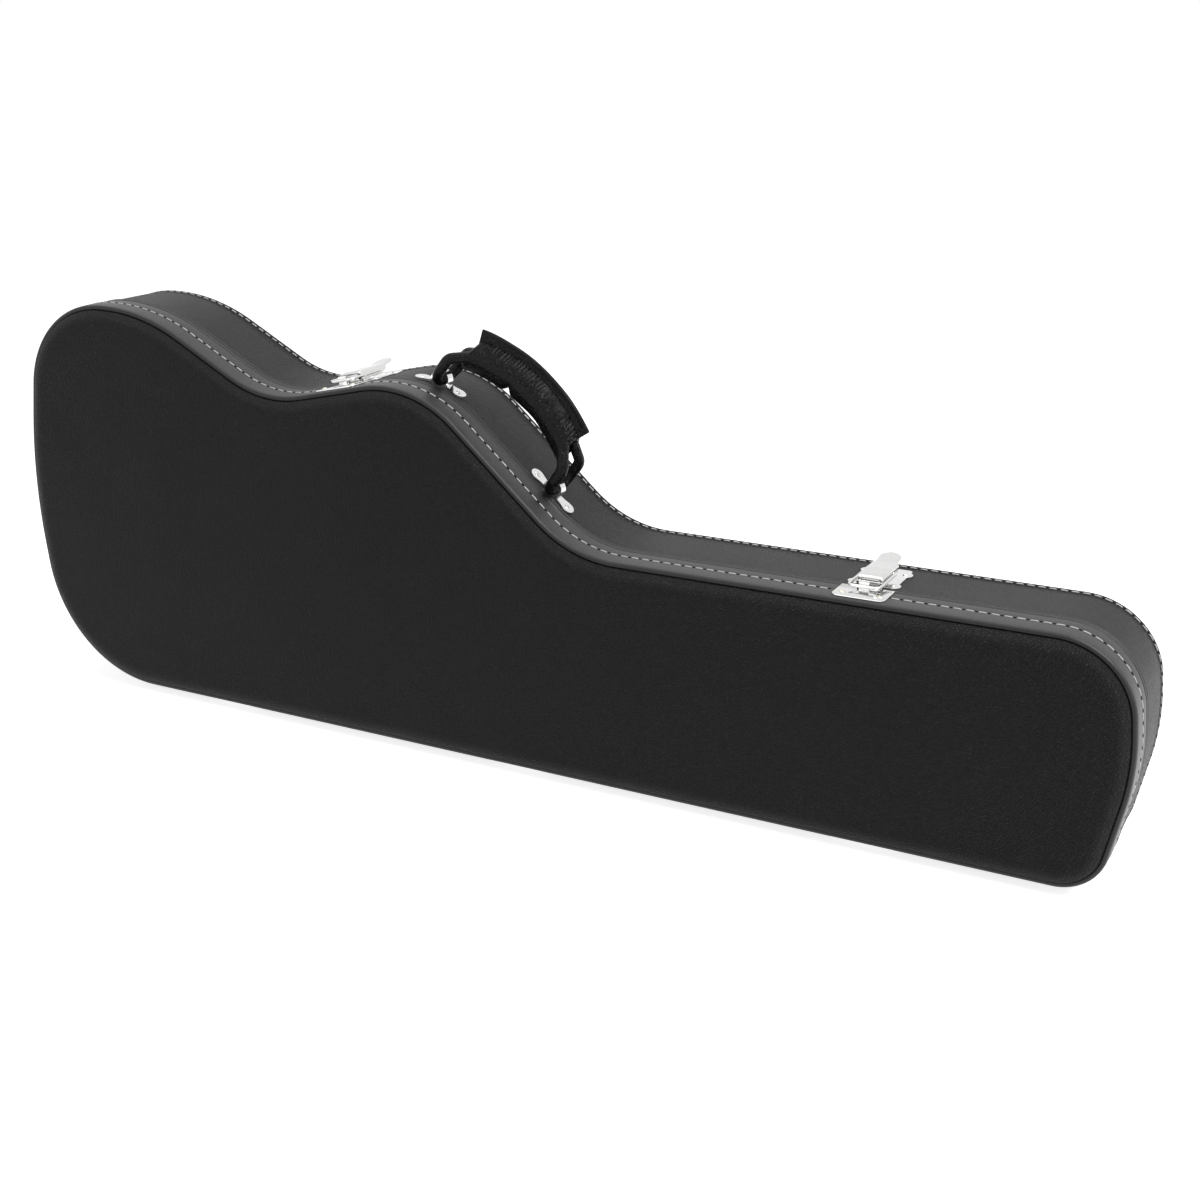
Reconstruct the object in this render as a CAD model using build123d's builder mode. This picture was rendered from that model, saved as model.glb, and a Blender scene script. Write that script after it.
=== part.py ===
"""A hard case for an electric guitar, standing on its hinge side.

X runs from the butt end to the headstock end, Y from the lid to the back, Z is up.
The origin is on the floor under the middle of the case. Sizes are in millimetres.
"""
import math
import os

from build123d import *

# Outline of the shell seen from the front: x from the middle, z from the underside of the wall,
# and the radius that rounds the corner. Clockwise from the lower corner of the butt end.
outline = [
    (-498.7, 0, 120),
    (-519.7, 190, 500),
    (-493.7, 361, 92),
    (-364.7, 361, 180),
    (-235.2, 292, 105),
    (-81.7, 326, 103),
    (65.3, 196, 105),
    (508.3, 196, 62),
    (517.3, 100, 200),
    (497.3, 0, 38),
]
WAIST, BOUT, NECK_JOINT = 4, 5, 6

# Depth of the shell, from the padded front of the lid to the back cover.
case_depth = 109.5
pad_rise = 4.5
lid_depth = 36.5
rim_gap = 0.4
back_cover_t = 1.5
foot_height = 8.0

# Walls, panels and linings.
wall_t = 5.0
panel_t = 5.0
panel_recess = 1.0
front_roll_r = 2.4
back_roll_r = 2.0
pad_inset = 4.2
pad_edge_r = 4.0
cover_inset = 3.0
band_t = 0.8
band_front_gap = 6.0
bead_w = 2.4
bead_t = 1.0
plush_t = 4.0
lip_reach = 6.0
lip_clear = 1.2
lip_t = 4.0
lip_depth = 20.0
plush_clear = 0.3
butt_joint_x = -400.0
bout_joint_x = -120.0
slope_joint_x = 25.0
neck_joint_x = 105.0
head_joint_x = 450.0
mid_height = 100.0

# Hinges under the straight side.
hinge_xs = (-300.0, 10.0, 320.0)
hinge_w = 48.0
leaf_reach = 17.0
leaf_t = 1.2
knuckle_r = 2.6
hinge_drop = 3.4
hinge_pin_r = 1.3
pin_clear = 0.05
knuckle_gap = 0.3
rivet_r = 2.2
rivet_h = 0.9

# Feet.
foot_r = 6.5
foot_xs = (-350.0, 410.0)
body_foot_inset = 12.0
lid_foot_inset = 13.5

# Draw latches.
waist_latch_along = 72.9
neck_latch_along = 239.0
latch_w = 42.0
plate_t = 1.2
base_front_gap = 2.8
base_length = 48.0
catch_gap = 5.0
catch_length = 27.0
lever_pivot_reach = 1.0
lever_pivot_h = 5.2
lever_inner_w = 16.6
lever_sheet_t = 1.2
lever_top_h = 9.6
lever_nose = 2.4
lever_length = 53.75
thumb_bend = 12.0
crease_at = 9.0
lobe_r = 6.0
plate_waist = 6.0
rivet_half = 15.0
base_rivet_front = 6.0
base_rivet_back = 12.0
catch_rivet_front = 9.0
catch_corner_r = 5.0
ear_r = 2.4
ear_side_gap = 0.3
latch_pin_r = 1.2
bail_pin_at = 24.0
bail_h = 6.2
bail_wire_r = 1.3
bail_leg_x = 12.2
bail_corner_r = 4.5
hook_reach = 14.65
hook_t = 1.6
hook_w = 8.0
hook_h = 9.4
bail_clear = 0.25

# Carrying handle and its staples.
handle_inset = 7.0
right_loop_along = 139.4
left_loop_tilt = 19.0
loop_r = 15.0
loop_tube_r = 4.3
loop_axis_h = 20.0
staple_w = 9.0
staple_t = 1.5
staple_drop = 8.8
staple_half_w = 7.2
staple_screw_at = 18.4
staple_foot_end = 21.5
staple_seat = 0.2
screw_head_r = 3.4
screw_head_h = 2.0
grip_half = 57.0
grip_end_rise = 24.0
grip_mid_rise = 38.0
grip_r = 13.5
notch_r = 5.0
notch_at = -9.0
fin_half = 62.0
fin_end_rise = 46.0
fin_mid_rise = 59.0
fin_foot = 12.0
fin_t = 3.4

# Padding inside.
neck_wall_x = 285.0
neck_wall_t = 26.0
neck_slot_w = 64.0
neck_slot_depth = 26.0
well_xs = (98.0, 238.0)
well_wall_t = 8.0
well_height = 36.0
head_pad_x = 470.0
head_pad_t = 22.0
butt_pad_x = -486.0
butt_pad_t = 20.0
butt_pad_h = 150.0
butt_pad_z = 120.0

# Places that follow from the sizes above.
front_y = -case_depth / 2
back_y = case_depth / 2
groove_y = front_y + pad_rise
part_y = groove_y + lid_depth
lid_rim_y = part_y - rim_gap
wall_back_y = back_y - back_cover_t
board_front_y = groove_y + panel_recess
hinge_y = part_y - rim_gap / 2
body_foot_y = wall_back_y - body_foot_inset
lid_foot_y = part_y - lid_foot_inset
lever_pivot_y = part_y - lever_pivot_reach
bail_pin_y = lever_pivot_y + bail_pin_at
lever_tail_y = lever_pivot_y + lever_length
hook_y = part_y - hook_reach
handle_y = part_y + handle_inset
hinge_z = foot_height - hinge_drop
lining_inset = wall_t + plush_t
floor_y = wall_back_y - panel_t - plush_t

os.makedirs("parts", exist_ok=True)


def save(part, label):
    """Label a finished piece and write it to its own file."""
    part.label = label
    export_step(part, f"parts/{label}.step")


def corner_points(inset):
    """Corners and radii of the outline moved inwards by inset."""
    points = []
    radii = []
    for index, (x, z, radius) in enumerate(outline):
        corner = Vector(x, z)
        before = (Vector(*outline[index - 1][:2]) - corner).normalized()
        after = (Vector(*outline[(index + 1) % len(outline)][:2]) - corner).normalized()
        half_sine = math.sin(math.radians(before.get_angle(after)) / 2)
        convex = before.X * after.Y - before.Y * after.X > 0
        turn = 1 if convex else -1
        points.append(corner + (before + after).normalized() * (turn * inset / half_sine))
        radii.append(radius - turn * inset)
    return points, radii


def face_plane(y):
    """The plane at depth y whose own x and y run along X and Z from the wall's underside."""
    return Plane(origin=(0, y, foot_height), x_dir=(1, 0, 0), z_dir=(0, -1, 0))


def outline_face(inset):
    """The face inside the shell's outline moved inwards by inset."""
    points, radii = corner_points(inset)
    with BuildSketch() as face:
        with BuildLine():
            FilletPolyline(*points, radius=radii, close=True)
        make_face()
    return face.sketch


def slab(near_y, far_y, inset):
    """A flat panel of the outline between two depths."""
    with BuildPart() as panel:
        with BuildSketch(face_plane(far_y)):
            add(outline_face(inset))
        extrude(amount=far_y - near_y)
    return panel.part


def ring(near_y, far_y, outer_inset, inner_inset):
    """A closed band of the outline between two depths."""
    with BuildPart() as band:
        with BuildSketch(face_plane(far_y)):
            add(outline_face(outer_inset))
            add(outline_face(inner_inset), mode=Mode.SUBTRACT)
        extrude(amount=far_y - near_y)
    return band.part


def run_of(band, where):
    """One bent run of a band: runs follow each other along the handle side, from butt to head."""
    low_x, high_x = RUN_LIMITS[where]
    with BuildPart() as run:
        add(band)
        if low_x is not None:
            split(bisect_by=Plane.YZ.offset(low_x), keep=Keep.TOP)
        if high_x is not None:
            split(bisect_by=Plane.YZ.offset(high_x), keep=Keep.BOTTOM)
        if low_x is not None and high_x is not None:
            keep = Keep.BOTTOM if where == "hinge_side" else Keep.TOP
            split(bisect_by=Plane.XY.offset(mid_height), keep=keep)
    return run.part


def edge_frame(corner, along):
    """A frame on the straight run after a corner: x along the wall, y into the case, z out."""
    start = Vector(*outline[corner][:2])
    end = Vector(*outline[corner + 1][:2])
    way = (end - start).normalized()
    spot = start + way * along
    return wall_frame(spot, way)


def wall_frame(spot, way):
    """The frame at a spot on the outline, with way as the direction along the wall."""
    return Plane(
        origin=(spot.X, 0, spot.Y + foot_height),
        x_dir=(way.X, 0, way.Y),
        z_dir=(-way.Y, 0, way.X),
    )


def arc_centre(corner):
    """Centre of the arc that rounds a convex corner."""
    spot = Vector(*outline[corner][:2])
    before = (Vector(*outline[corner - 1][:2]) - spot).normalized()
    after = (Vector(*outline[corner + 1][:2]) - spot).normalized()
    half_sine = math.sin(math.radians(before.get_angle(after)) / 2)
    return spot + (before + after).normalized() * (outline[corner][2] / half_sine)


def arc_frame(corner, tilt):
    """The frame on a corner's arc where the wall leans by tilt degrees from level."""
    lean = math.radians(tilt)
    spot = arc_centre(corner) + Vector(math.sin(lean), math.cos(lean)) * outline[corner][2]
    return wall_frame(spot, Vector(math.cos(lean), -math.sin(lean)))


def side_plane(frame, across):
    """The plane across a wall frame: its own x runs along Y and its own y outwards."""
    origin = frame.from_local_coords((across, 0, 0))
    return Plane(origin=origin, x_dir=(0, 1, 0), z_dir=frame.x_dir)


def raised_plane(frame, height):
    """The plane that lies parallel to the wall at a height above it."""
    return frame.offset(height)


RUN_LIMITS = {
    "butt": (None, butt_joint_x),
    "waist": (butt_joint_x, bout_joint_x),
    "bout": (bout_joint_x, slope_joint_x),
    "slope": (slope_joint_x, neck_joint_x),
    "neck": (neck_joint_x, head_joint_x),
    "head": (head_joint_x, None),
    "hinge_side": (butt_joint_x, head_joint_x),
}

# Body shell: bent wall in seven runs, back board, back cover, piping, lip and linings.
with BuildPart() as body_wall:
    add(ring(part_y, wall_back_y, 0, wall_t))
    fillet(body_wall.faces().sort_by(Axis.Y)[-1].outer_wire().edges(), back_roll_r)
for run_name in RUN_LIMITS:
    save(run_of(body_wall.part, run_name), f"body_wall_{run_name}")

with BuildPart() as back_board:
    add(slab(wall_back_y - panel_t, wall_back_y, wall_t))
save(back_board.part, "back_board")

with BuildPart() as back_cover:
    add(slab(wall_back_y, back_y, cover_inset + bead_w))
save(back_cover.part, "back_cover")

with BuildPart() as back_piping:
    add(ring(wall_back_y, back_y, cover_inset, cover_inset + bead_w))
save(back_piping.part, "back_piping")

with BuildPart() as rim_bead:
    add(ring(part_y, part_y + bead_w, -bead_t, 0))
    with BuildSketch(Plane.XY.offset(foot_height - bead_t)):
        with Locations(*[(hinge_x, part_y) for hinge_x in hinge_xs]):
            Rectangle(hinge_w + 2 * knuckle_gap, 4 * bead_w)
    extrude(amount=bead_t, mode=Mode.SUBTRACT)
save(rim_bead.part, "rim_bead")

with BuildPart() as lip_band:
    add(ring(part_y, part_y + lip_depth, wall_t, wall_t + lip_t))
    add(ring(part_y - lip_reach, part_y, wall_t + lip_clear, wall_t + lip_t))
save(Compound(children=[run_of(lip_band.part, name) for name in RUN_LIMITS]), "rim_lip")

side_plush = ring(part_y + lip_depth, floor_y, wall_t, lining_inset)
save(side_plush, "body_side_lining")

with BuildPart() as body_floor_lining:
    add(slab(floor_y, floor_y + plush_t, wall_t))
save(body_floor_lining.part, "body_floor_lining")

# Lid: bent wall in seven runs with a rolled front edge, board, padded cover, band and linings.
with BuildPart() as lid_wall:
    add(ring(groove_y, lid_rim_y, 0, wall_t))
    fillet(lid_wall.faces().sort_by(Axis.Y)[0].outer_wire().edges(), front_roll_r)
for run_name in RUN_LIMITS:
    save(run_of(lid_wall.part, run_name), f"lid_wall_{run_name}")

with BuildPart() as lid_board:
    add(slab(board_front_y, board_front_y + panel_t, wall_t))
save(lid_board.part, "lid_board")

with BuildPart() as lid_pad:
    add(slab(front_y, groove_y, pad_inset))
    fillet(lid_pad.faces().sort_by(Axis.Y)[0].outer_wire().edges(), pad_edge_r)
    add(slab(groove_y, board_front_y, wall_t))
save(lid_pad.part, "lid_padded_cover")

band_front_y = groove_y + band_front_gap
band_body = ring(band_front_y, lid_rim_y, -band_t, 0)
lid_leaf_y = hinge_y - leaf_reach
with BuildPart() as lid_band:
    add(band_body)
    with BuildSketch(Plane.XY.offset(foot_height - band_t)):
        for hinge_x in hinge_xs:
            with Locations((hinge_x, hinge_y - leaf_reach / 2)):
                Rectangle(hinge_w + 2 * knuckle_gap, leaf_reach + 2 * knuckle_gap)
        for foot_x in foot_xs:
            with Locations((foot_x, lid_foot_y)):
                Circle(foot_r + knuckle_gap)
    extrude(amount=band_t, mode=Mode.SUBTRACT)
save(lid_band.part, "lid_band")

lid_lining_y = board_front_y + panel_t
with BuildPart() as lid_side_lining:
    add(ring(lid_lining_y + plush_t, part_y - lip_reach - lip_clear, wall_t, lining_inset))
save(lid_side_lining.part, "lid_side_lining")

with BuildPart() as lid_floor_lining:
    add(slab(lid_lining_y, lid_lining_y + plush_t, wall_t))
save(lid_floor_lining.part, "lid_floor_lining")


# Hinges: two leaves on one pin, three times.
def hinge_leaf(hinge_x, side):
    """One leaf under the wall with its share of the knuckles; side is 1 on the body, -1 on the lid."""
    outer_knuckle = (hinge_w - 2 * knuckle_gap) / 3
    if side > 0:
        spans = [(-hinge_w / 2, outer_knuckle), (hinge_w / 2 - outer_knuckle, outer_knuckle)]
    else:
        spans = [(-hinge_w / 2 + outer_knuckle + knuckle_gap, outer_knuckle)]
    root_gap = knuckle_r + knuckle_gap
    with BuildPart() as leaf:
        with BuildSketch(Plane.XY.offset(foot_height - leaf_t)):
            with Locations((hinge_x, hinge_y + side * (root_gap + leaf_reach) / 2)):
                Rectangle(hinge_w, leaf_reach - root_gap)
            for start, width in spans:
                with Locations((hinge_x + start + width / 2, hinge_y + side * leaf_reach / 4)):
                    Rectangle(width, leaf_reach / 2)
        extrude(amount=leaf_t)
        for start, width in spans:
            with BuildSketch(Plane.YZ.offset(hinge_x + start)):
                with Locations((hinge_y, hinge_z)):
                    Circle(knuckle_r)
            extrude(amount=width)
        with BuildSketch(Plane.YZ.offset(hinge_x - hinge_w / 2)):
            with Locations((hinge_y, hinge_z)):
                Circle(hinge_pin_r + pin_clear)
        extrude(amount=hinge_w, mode=Mode.SUBTRACT)
    return leaf.part


def hinge_rivets(side):
    """Domed rivet heads that hold the leaves of one side, two to a leaf."""
    with BuildPart() as rivets:
        for hinge_x in hinge_xs:
            for offset_x in (-hinge_w / 3, hinge_w / 3):
                with BuildSketch(Plane.XY.offset(foot_height - leaf_t - rivet_h)):
                    with Locations((hinge_x + offset_x, hinge_y + side * leaf_reach * 0.7)):
                        Circle(rivet_r)
                extrude(amount=rivet_h)
        heads = rivets.faces().filter_by(Axis.Z).group_by(Axis.Z)[0]
        chamfer(heads.edges(), rivet_h / 2)
    return rivets.part


save(Compound(children=[hinge_leaf(x, 1) for x in hinge_xs]), "hinge_body_leaves")
save(Compound(children=[hinge_leaf(x, -1) for x in hinge_xs]), "hinge_lid_leaves")
save(hinge_rivets(1), "hinge_body_rivets")
save(hinge_rivets(-1), "hinge_lid_rivets")

with BuildPart() as hinge_pins:
    for hinge_x in hinge_xs:
        with BuildSketch(Plane.YZ.offset(hinge_x - hinge_w / 2)):
            with Locations((hinge_y, hinge_z)):
                Circle(hinge_pin_r)
        extrude(amount=hinge_w)
save(hinge_pins.part, "hinge_pins")


def feet(foot_y):
    """Two round rubber feet under the hinge side at one depth."""
    with BuildPart() as pair:
        with BuildSketch():
            with Locations(*[(foot_x, foot_y) for foot_x in foot_xs]):
                Circle(foot_r)
        extrude(amount=foot_height)
        fillet(pair.faces().filter_by(Axis.Z).group_by(Axis.Z)[0].edges(), 1.0)
    return pair.part


save(feet(body_foot_y), "body_feet")
save(feet(lid_foot_y), "lid_feet")

# Draw latches.
base_front_y = part_y + base_front_gap
base_back_y = base_front_y + base_length
catch_back_y = part_y - catch_gap
catch_front_y = catch_back_y - catch_length
rivet_ys = (base_front_y + base_rivet_front, base_back_y - base_rivet_back)
rivet_spots = [(side * rivet_half, spot_y) for spot_y in rivet_ys for side in (-1, 1)]
catch_rivet_spots = [(side * rivet_half, catch_front_y + catch_rivet_front) for side in (-1, 1)]


def latch_base(frame):
    """Plate on the body wall with four rivet lobes and two ears for the lever's pin."""
    ear_x = lever_inner_w / 2 - ear_side_gap - lever_sheet_t
    with BuildPart() as base:
        with BuildSketch(raised_plane(frame, 0)):
            with Locations((0, (base_front_y + base_back_y) / 2)):
                RectangleRounded(latch_w - plate_waist, base_length, 4)
            with Locations(*rivet_spots):
                Circle(lobe_r)
            for spot_y in rivet_ys:
                with Locations((0, spot_y)):
                    Rectangle(2 * rivet_half, 2 * lobe_r)
        extrude(amount=plate_t)
        for start in (-ear_x - lever_sheet_t, ear_x):
            with BuildSketch(side_plane(frame, start)):
                with Locations((lever_pivot_y, lever_pivot_h)):
                    Circle(ear_r)
                with BuildLine():
                    Polyline(
                        (lever_pivot_y, lever_pivot_h + ear_r),
                        (base_front_y + 12, plate_t),
                        (base_front_y + 12, 0),
                        (base_front_y, 0),
                        (base_front_y, lever_pivot_h - ear_r),
                        (lever_pivot_y, lever_pivot_h - ear_r),
                        close=True,
                    )
                make_face()
                with Locations((lever_pivot_y, lever_pivot_h)):
                    Circle(latch_pin_r + pin_clear, mode=Mode.SUBTRACT)
            extrude(amount=lever_sheet_t)
    return base.part


def latch_pin(frame):
    """The pin that carries the lever in the ears."""
    width = lever_inner_w + 2 * lever_sheet_t
    with BuildPart() as pin:
        with BuildSketch(side_plane(frame, -width / 2)):
            with Locations((lever_pivot_y, lever_pivot_h)):
                Circle(latch_pin_r)
        extrude(amount=width)
    return pin.part


def latch_lever(frame):
    """Folded lever: a top sheet with a raised thumb tab and two cheeks on the pin."""
    half = lever_inner_w / 2
    nose_y = lever_pivot_y - lever_nose
    under = lever_top_h - lever_sheet_t
    crease_y = lever_pivot_y + crease_at
    tab_y = bail_pin_y + thumb_bend
    cheek_r = lever_pivot_h - plate_t - ear_side_gap - 0.4
    with BuildPart() as lever:
        with BuildSketch(side_plane(frame, -half - lever_sheet_t)):
            with BuildLine():
                Polyline(
                    (nose_y, under - 0.6),
                    (nose_y, lever_top_h - 0.6),
                    (crease_y, lever_top_h),
                    (tab_y, lever_top_h),
                    (lever_tail_y, lever_top_h + 2.2),
                    (lever_tail_y, lever_top_h + 2.2 - lever_sheet_t),
                    (tab_y, under),
                    (crease_y, under),
                    close=True,
                )
            make_face()
        extrude(amount=lever_inner_w + 2 * lever_sheet_t)
        for start in (-half - lever_sheet_t, half):
            with BuildSketch(side_plane(frame, start)):
                with BuildLine():
                    Polyline(
                        (lever_pivot_y, under - 0.6),
                        (crease_y, under + 0.3),
                        (tab_y, under + 0.3),
                        (tab_y, under - 3.0),
                        (bail_pin_y + 4, bail_h - 3),
                        (bail_pin_y - 4, bail_h - 3),
                        (lever_pivot_y + 6, lever_pivot_h - 1.5),
                        (lever_pivot_y, lever_pivot_h - cheek_r),
                        close=True,
                    )
                make_face()
                with Locations((lever_pivot_y, lever_pivot_h)):
                    Circle(cheek_r)
                    Circle(latch_pin_r + pin_clear, mode=Mode.SUBTRACT)
                with Locations((bail_pin_y, bail_h)):
                    Circle(bail_wire_r + pin_clear, mode=Mode.SUBTRACT)
            extrude(amount=lever_sheet_t)
        tail_edges = lever.edges().filter_by(lambda edge: abs(edge.center().Y - lever_tail_y) < 0.1)
        tail_edges = tail_edges.filter_by(lambda edge: abs(edge.length - lever_sheet_t) < 0.1)
        fillet(tail_edges, half - 0.6)
    return lever.part


def latch_bail(frame):
    """Wire loop from the lever's cheeks round the front of the hook."""
    bar_y = hook_y - hook_t - bail_clear - bail_wire_r
    pin_in = lever_inner_w / 2 - 0.8
    path_plane = raised_plane(frame, bail_h)
    with BuildPart() as bail:
        with BuildLine(path_plane) as path:
            FilletPolyline(
                (-pin_in, bail_pin_y),
                (-bail_leg_x, bail_pin_y),
                (-bail_leg_x, bar_y),
                (bail_leg_x, bar_y),
                (bail_leg_x, bail_pin_y),
                (pin_in, bail_pin_y),
                radius=(1.7, bail_corner_r, bail_corner_r, 1.7),
            )
        with BuildSketch(side_plane(frame, -pin_in)):
            with Locations((bail_pin_y, bail_h)):
                Circle(bail_wire_r)
        sweep(path=path.wires()[0])
    return bail.part


def latch_catch(frame):
    """Plate on the lid's band with the upright hook."""
    with BuildPart() as catch:
        with BuildSketch(raised_plane(frame, band_t)):
            with Locations((0, (catch_front_y + catch_back_y) / 2)):
                Rectangle(latch_w, catch_length)
        extrude(amount=plate_t)
        fillet(catch.edges().filter_by(Axis((0, 0, 0), frame.z_dir)).group_by(Axis.Y)[0], catch_corner_r)
        with BuildSketch(side_plane(frame, -hook_w / 2)):
            with Locations((hook_y - hook_t / 2, (band_t + hook_h) / 2)):
                Rectangle(hook_t, hook_h - band_t)
        extrude(amount=hook_w)
        top_edges = catch.edges().filter_by(Axis((0, 0, 0), frame.x_dir))
        top_edges = top_edges.filter_by(lambda edge: frame.to_local_coords(edge.center()).Z > hook_h - 0.1)
        fillet(top_edges, hook_t / 2 - 0.05)
    return catch.part


def rivets_at(frame, height, spots, radius):
    """Domed rivet heads on a plate."""
    with BuildPart() as rivets:
        with BuildSketch(raised_plane(frame, height)):
            with Locations(*spots):
                Circle(radius)
        extrude(amount=rivet_h)
        top = rivets.faces().filter_by(Axis((0, 0, 0), frame.z_dir))
        top = top.filter_by(lambda face: frame.to_local_coords(face.center()).Z > height + rivet_h / 2)
        chamfer(top.edges(), rivet_h / 2)
    return rivets.part


latch_frames = {
    "waist": edge_frame(WAIST, waist_latch_along),
    "neck": edge_frame(NECK_JOINT, neck_latch_along),
}
for latch_name, latch_frame in latch_frames.items():
    save(latch_base(latch_frame), f"{latch_name}_latch_base")
    save(latch_pin(latch_frame), f"{latch_name}_latch_pin")
    save(latch_lever(latch_frame), f"{latch_name}_latch_lever")
    save(latch_bail(latch_frame), f"{latch_name}_latch_bail")
    save(latch_catch(latch_frame), f"{latch_name}_latch_catch")
base_rivets = [rivets_at(frame, plate_t, rivet_spots, rivet_r) for frame in latch_frames.values()]
catch_height = band_t + plate_t
catch_rivets = [
    rivets_at(frame, catch_height, catch_rivet_spots, rivet_r) for frame in latch_frames.values()
]
save(Compound(children=base_rivets), "latch_base_rivets")
save(Compound(children=catch_rivets), "latch_catch_rivets")

# Carrying handle: two loops under staples, a leather grip on a core and its sewn fin.
def loop_centre(frame):
    """Centre of a loop: the handle swings about the line through both."""
    return frame.from_local_coords((0, handle_y, loop_axis_h))


left_centre = loop_centre(arc_frame(BOUT, left_loop_tilt))
right_centre = loop_centre(edge_frame(BOUT, right_loop_along))
handle_mid = (left_centre + right_centre) / 2
handle_way = (right_centre - left_centre).normalized()
loop_at = (right_centre - left_centre).length / 2
handle_plane = Plane(origin=handle_mid, x_dir=handle_way, z_dir=(0, -1, 0))
print("handle axis through", handle_mid, "along", handle_way)

# A staple stands where its loop comes nearest to the wall.
left_low = handle_plane.from_local_coords((-loop_at, -loop_r, 0))
right_low = handle_plane.from_local_coords((loop_at, -loop_r, 0))
bout_centre = arc_centre(BOUT)
left_tilt = math.degrees(math.atan2(left_low.X - bout_centre.X, left_low.Z - foot_height - bout_centre.Y))
slope_frame = edge_frame(BOUT, 0)
right_along = slope_frame.to_local_coords(right_low).X
staple_frames = {
    "left": arc_frame(BOUT, left_tilt),
    "right": edge_frame(BOUT, right_along),
}
wall_curve_r = {"left": outline[BOUT][2], "right": None}


def foot_rise(x, touch_x, curve_r):
    """Height of the line that touches the curved wall at touch_x, read at x."""
    if curve_r is None:
        return 0.0
    lean = math.asin(touch_x / curve_r)
    return curve_r * (math.cos(lean) - 1) - math.tan(lean) * (x - touch_x)


def staple(frame, low_spot, curve_r):
    """Strap over a loop: two feet that follow the wall and an arch between them."""
    base = staple_seat
    top = frame.to_local_coords(low_spot).Z + loop_r - staple_drop + staple_t
    shoulder = top - staple_half_w
    inner = staple_half_w - staple_t
    bend_x = (staple_half_w + staple_screw_at) / 2
    strip_plane = Plane(
        origin=frame.from_local_coords((0, handle_y + staple_w / 2, 0)),
        x_dir=frame.x_dir,
        z_dir=(0, -1, 0),
    )
    near = base + foot_rise(inner, staple_half_w, curve_r)
    bend = base + foot_rise(bend_x, staple_screw_at, curve_r)
    far = base + foot_rise(staple_foot_end, staple_screw_at, curve_r)
    with BuildPart() as strap:
        with BuildSketch(strip_plane):
            with BuildLine():
                Polyline((-inner, near), (-bend_x, bend), (-staple_foot_end, far))
                Polyline(
                    (-staple_foot_end, far),
                    (-staple_foot_end, far + staple_t),
                    (-bend_x, bend + staple_t),
                    (-staple_half_w, near + staple_t),
                    (-staple_half_w, shoulder),
                )
                ThreePointArc((-staple_half_w, shoulder), (0, top), (staple_half_w, shoulder))
                Polyline(
                    (staple_half_w, shoulder),
                    (staple_half_w, near + staple_t),
                    (bend_x, bend + staple_t),
                    (staple_foot_end, far + staple_t),
                    (staple_foot_end, far),
                    (bend_x, bend),
                    (inner, near),
                    (inner, shoulder),
                )
                ThreePointArc((inner, shoulder), (0, top - staple_t), (-inner, shoulder))
                Line((-inner, shoulder), (-inner, near))
            make_face()
        extrude(amount=staple_w)
    return strap.part


def screw_head(seat):
    """A domed screw head on its seat plane."""
    with BuildPart() as head:
        with BuildSketch(seat):
            Circle(screw_head_r)
        extrude(amount=screw_head_h)
        top = head.faces().sort_by(Axis(seat.origin, seat.z_dir))[-1]
        fillet(top.edges(), screw_head_h * 0.6)
    return head.part


def staple_screws(frame, curve_r):
    """Two screw heads, one on each foot of a staple."""
    lean = 0 if curve_r is None else math.degrees(math.asin(staple_screw_at / curve_r))
    height = staple_seat + foot_rise(staple_screw_at, staple_screw_at, curve_r)
    heads = []
    for side in (-1, 1):
        spot = frame.from_local_coords((side * staple_screw_at, handle_y, height))
        foot_plane = Plane(origin=spot, x_dir=frame.x_dir, z_dir=frame.z_dir)
        heads.append(screw_head(foot_plane.rotated((0, side * lean, 0)).offset(staple_t)))
    return Compound(children=heads)


for side_name, staple_frame in staple_frames.items():
    low = left_low if side_name == "left" else right_low
    curve = wall_curve_r[side_name]
    save(staple(staple_frame, low, curve), f"handle_staple_{side_name}")
    save(staple_screws(staple_frame, curve), f"handle_screws_{side_name}")

grip_arc = [(-grip_half, grip_end_rise), (0, grip_mid_rise), (grip_half, grip_end_rise)]
grip_bulge_r = (grip_half**2 + (grip_mid_rise - grip_end_rise) ** 2) / (2 * (grip_mid_rise - grip_end_rise))
grip_turn = math.degrees(math.asin(grip_half / grip_bulge_r))

with BuildPart() as handle_grip:
    with BuildLine(handle_plane) as grip_line:
        ThreePointArc(*grip_arc)
    with BuildSketch(Plane(origin=grip_line.line @ 0, z_dir=grip_line.line % 0)):
        Circle(grip_r)
    sweep(path=grip_line.wires()[0])
    ends = handle_grip.faces().filter_by(GeomType.PLANE)
    fillet(ends.edges(), 3.0)
    with BuildSketch(handle_plane):
        with Locations((notch_at, grip_mid_rise - grip_r - notch_r / 2)):
            Circle(notch_r)
    extrude(amount=grip_r + 1, both=True, mode=Mode.SUBTRACT)
save(handle_grip.part, "handle_grip")

with BuildPart() as handle_fin:
    with BuildSketch(handle_plane):
        with BuildLine():
            ThreePointArc((-fin_half, fin_end_rise), (0, fin_mid_rise), (fin_half, fin_end_rise))
            Line((fin_half, fin_end_rise), (fin_half - 5, fin_end_rise - fin_foot))
            ThreePointArc(
                (fin_half - 5, fin_end_rise - fin_foot),
                (0, fin_mid_rise - fin_foot),
                (-fin_half + 5, fin_end_rise - fin_foot),
            )
            Line((-fin_half + 5, fin_end_rise - fin_foot), (-fin_half, fin_end_rise))
        make_face()
    extrude(amount=fin_t / 2, both=True)
    add(handle_grip.part, mode=Mode.SUBTRACT)
save(handle_fin.part, "handle_fin")


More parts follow.
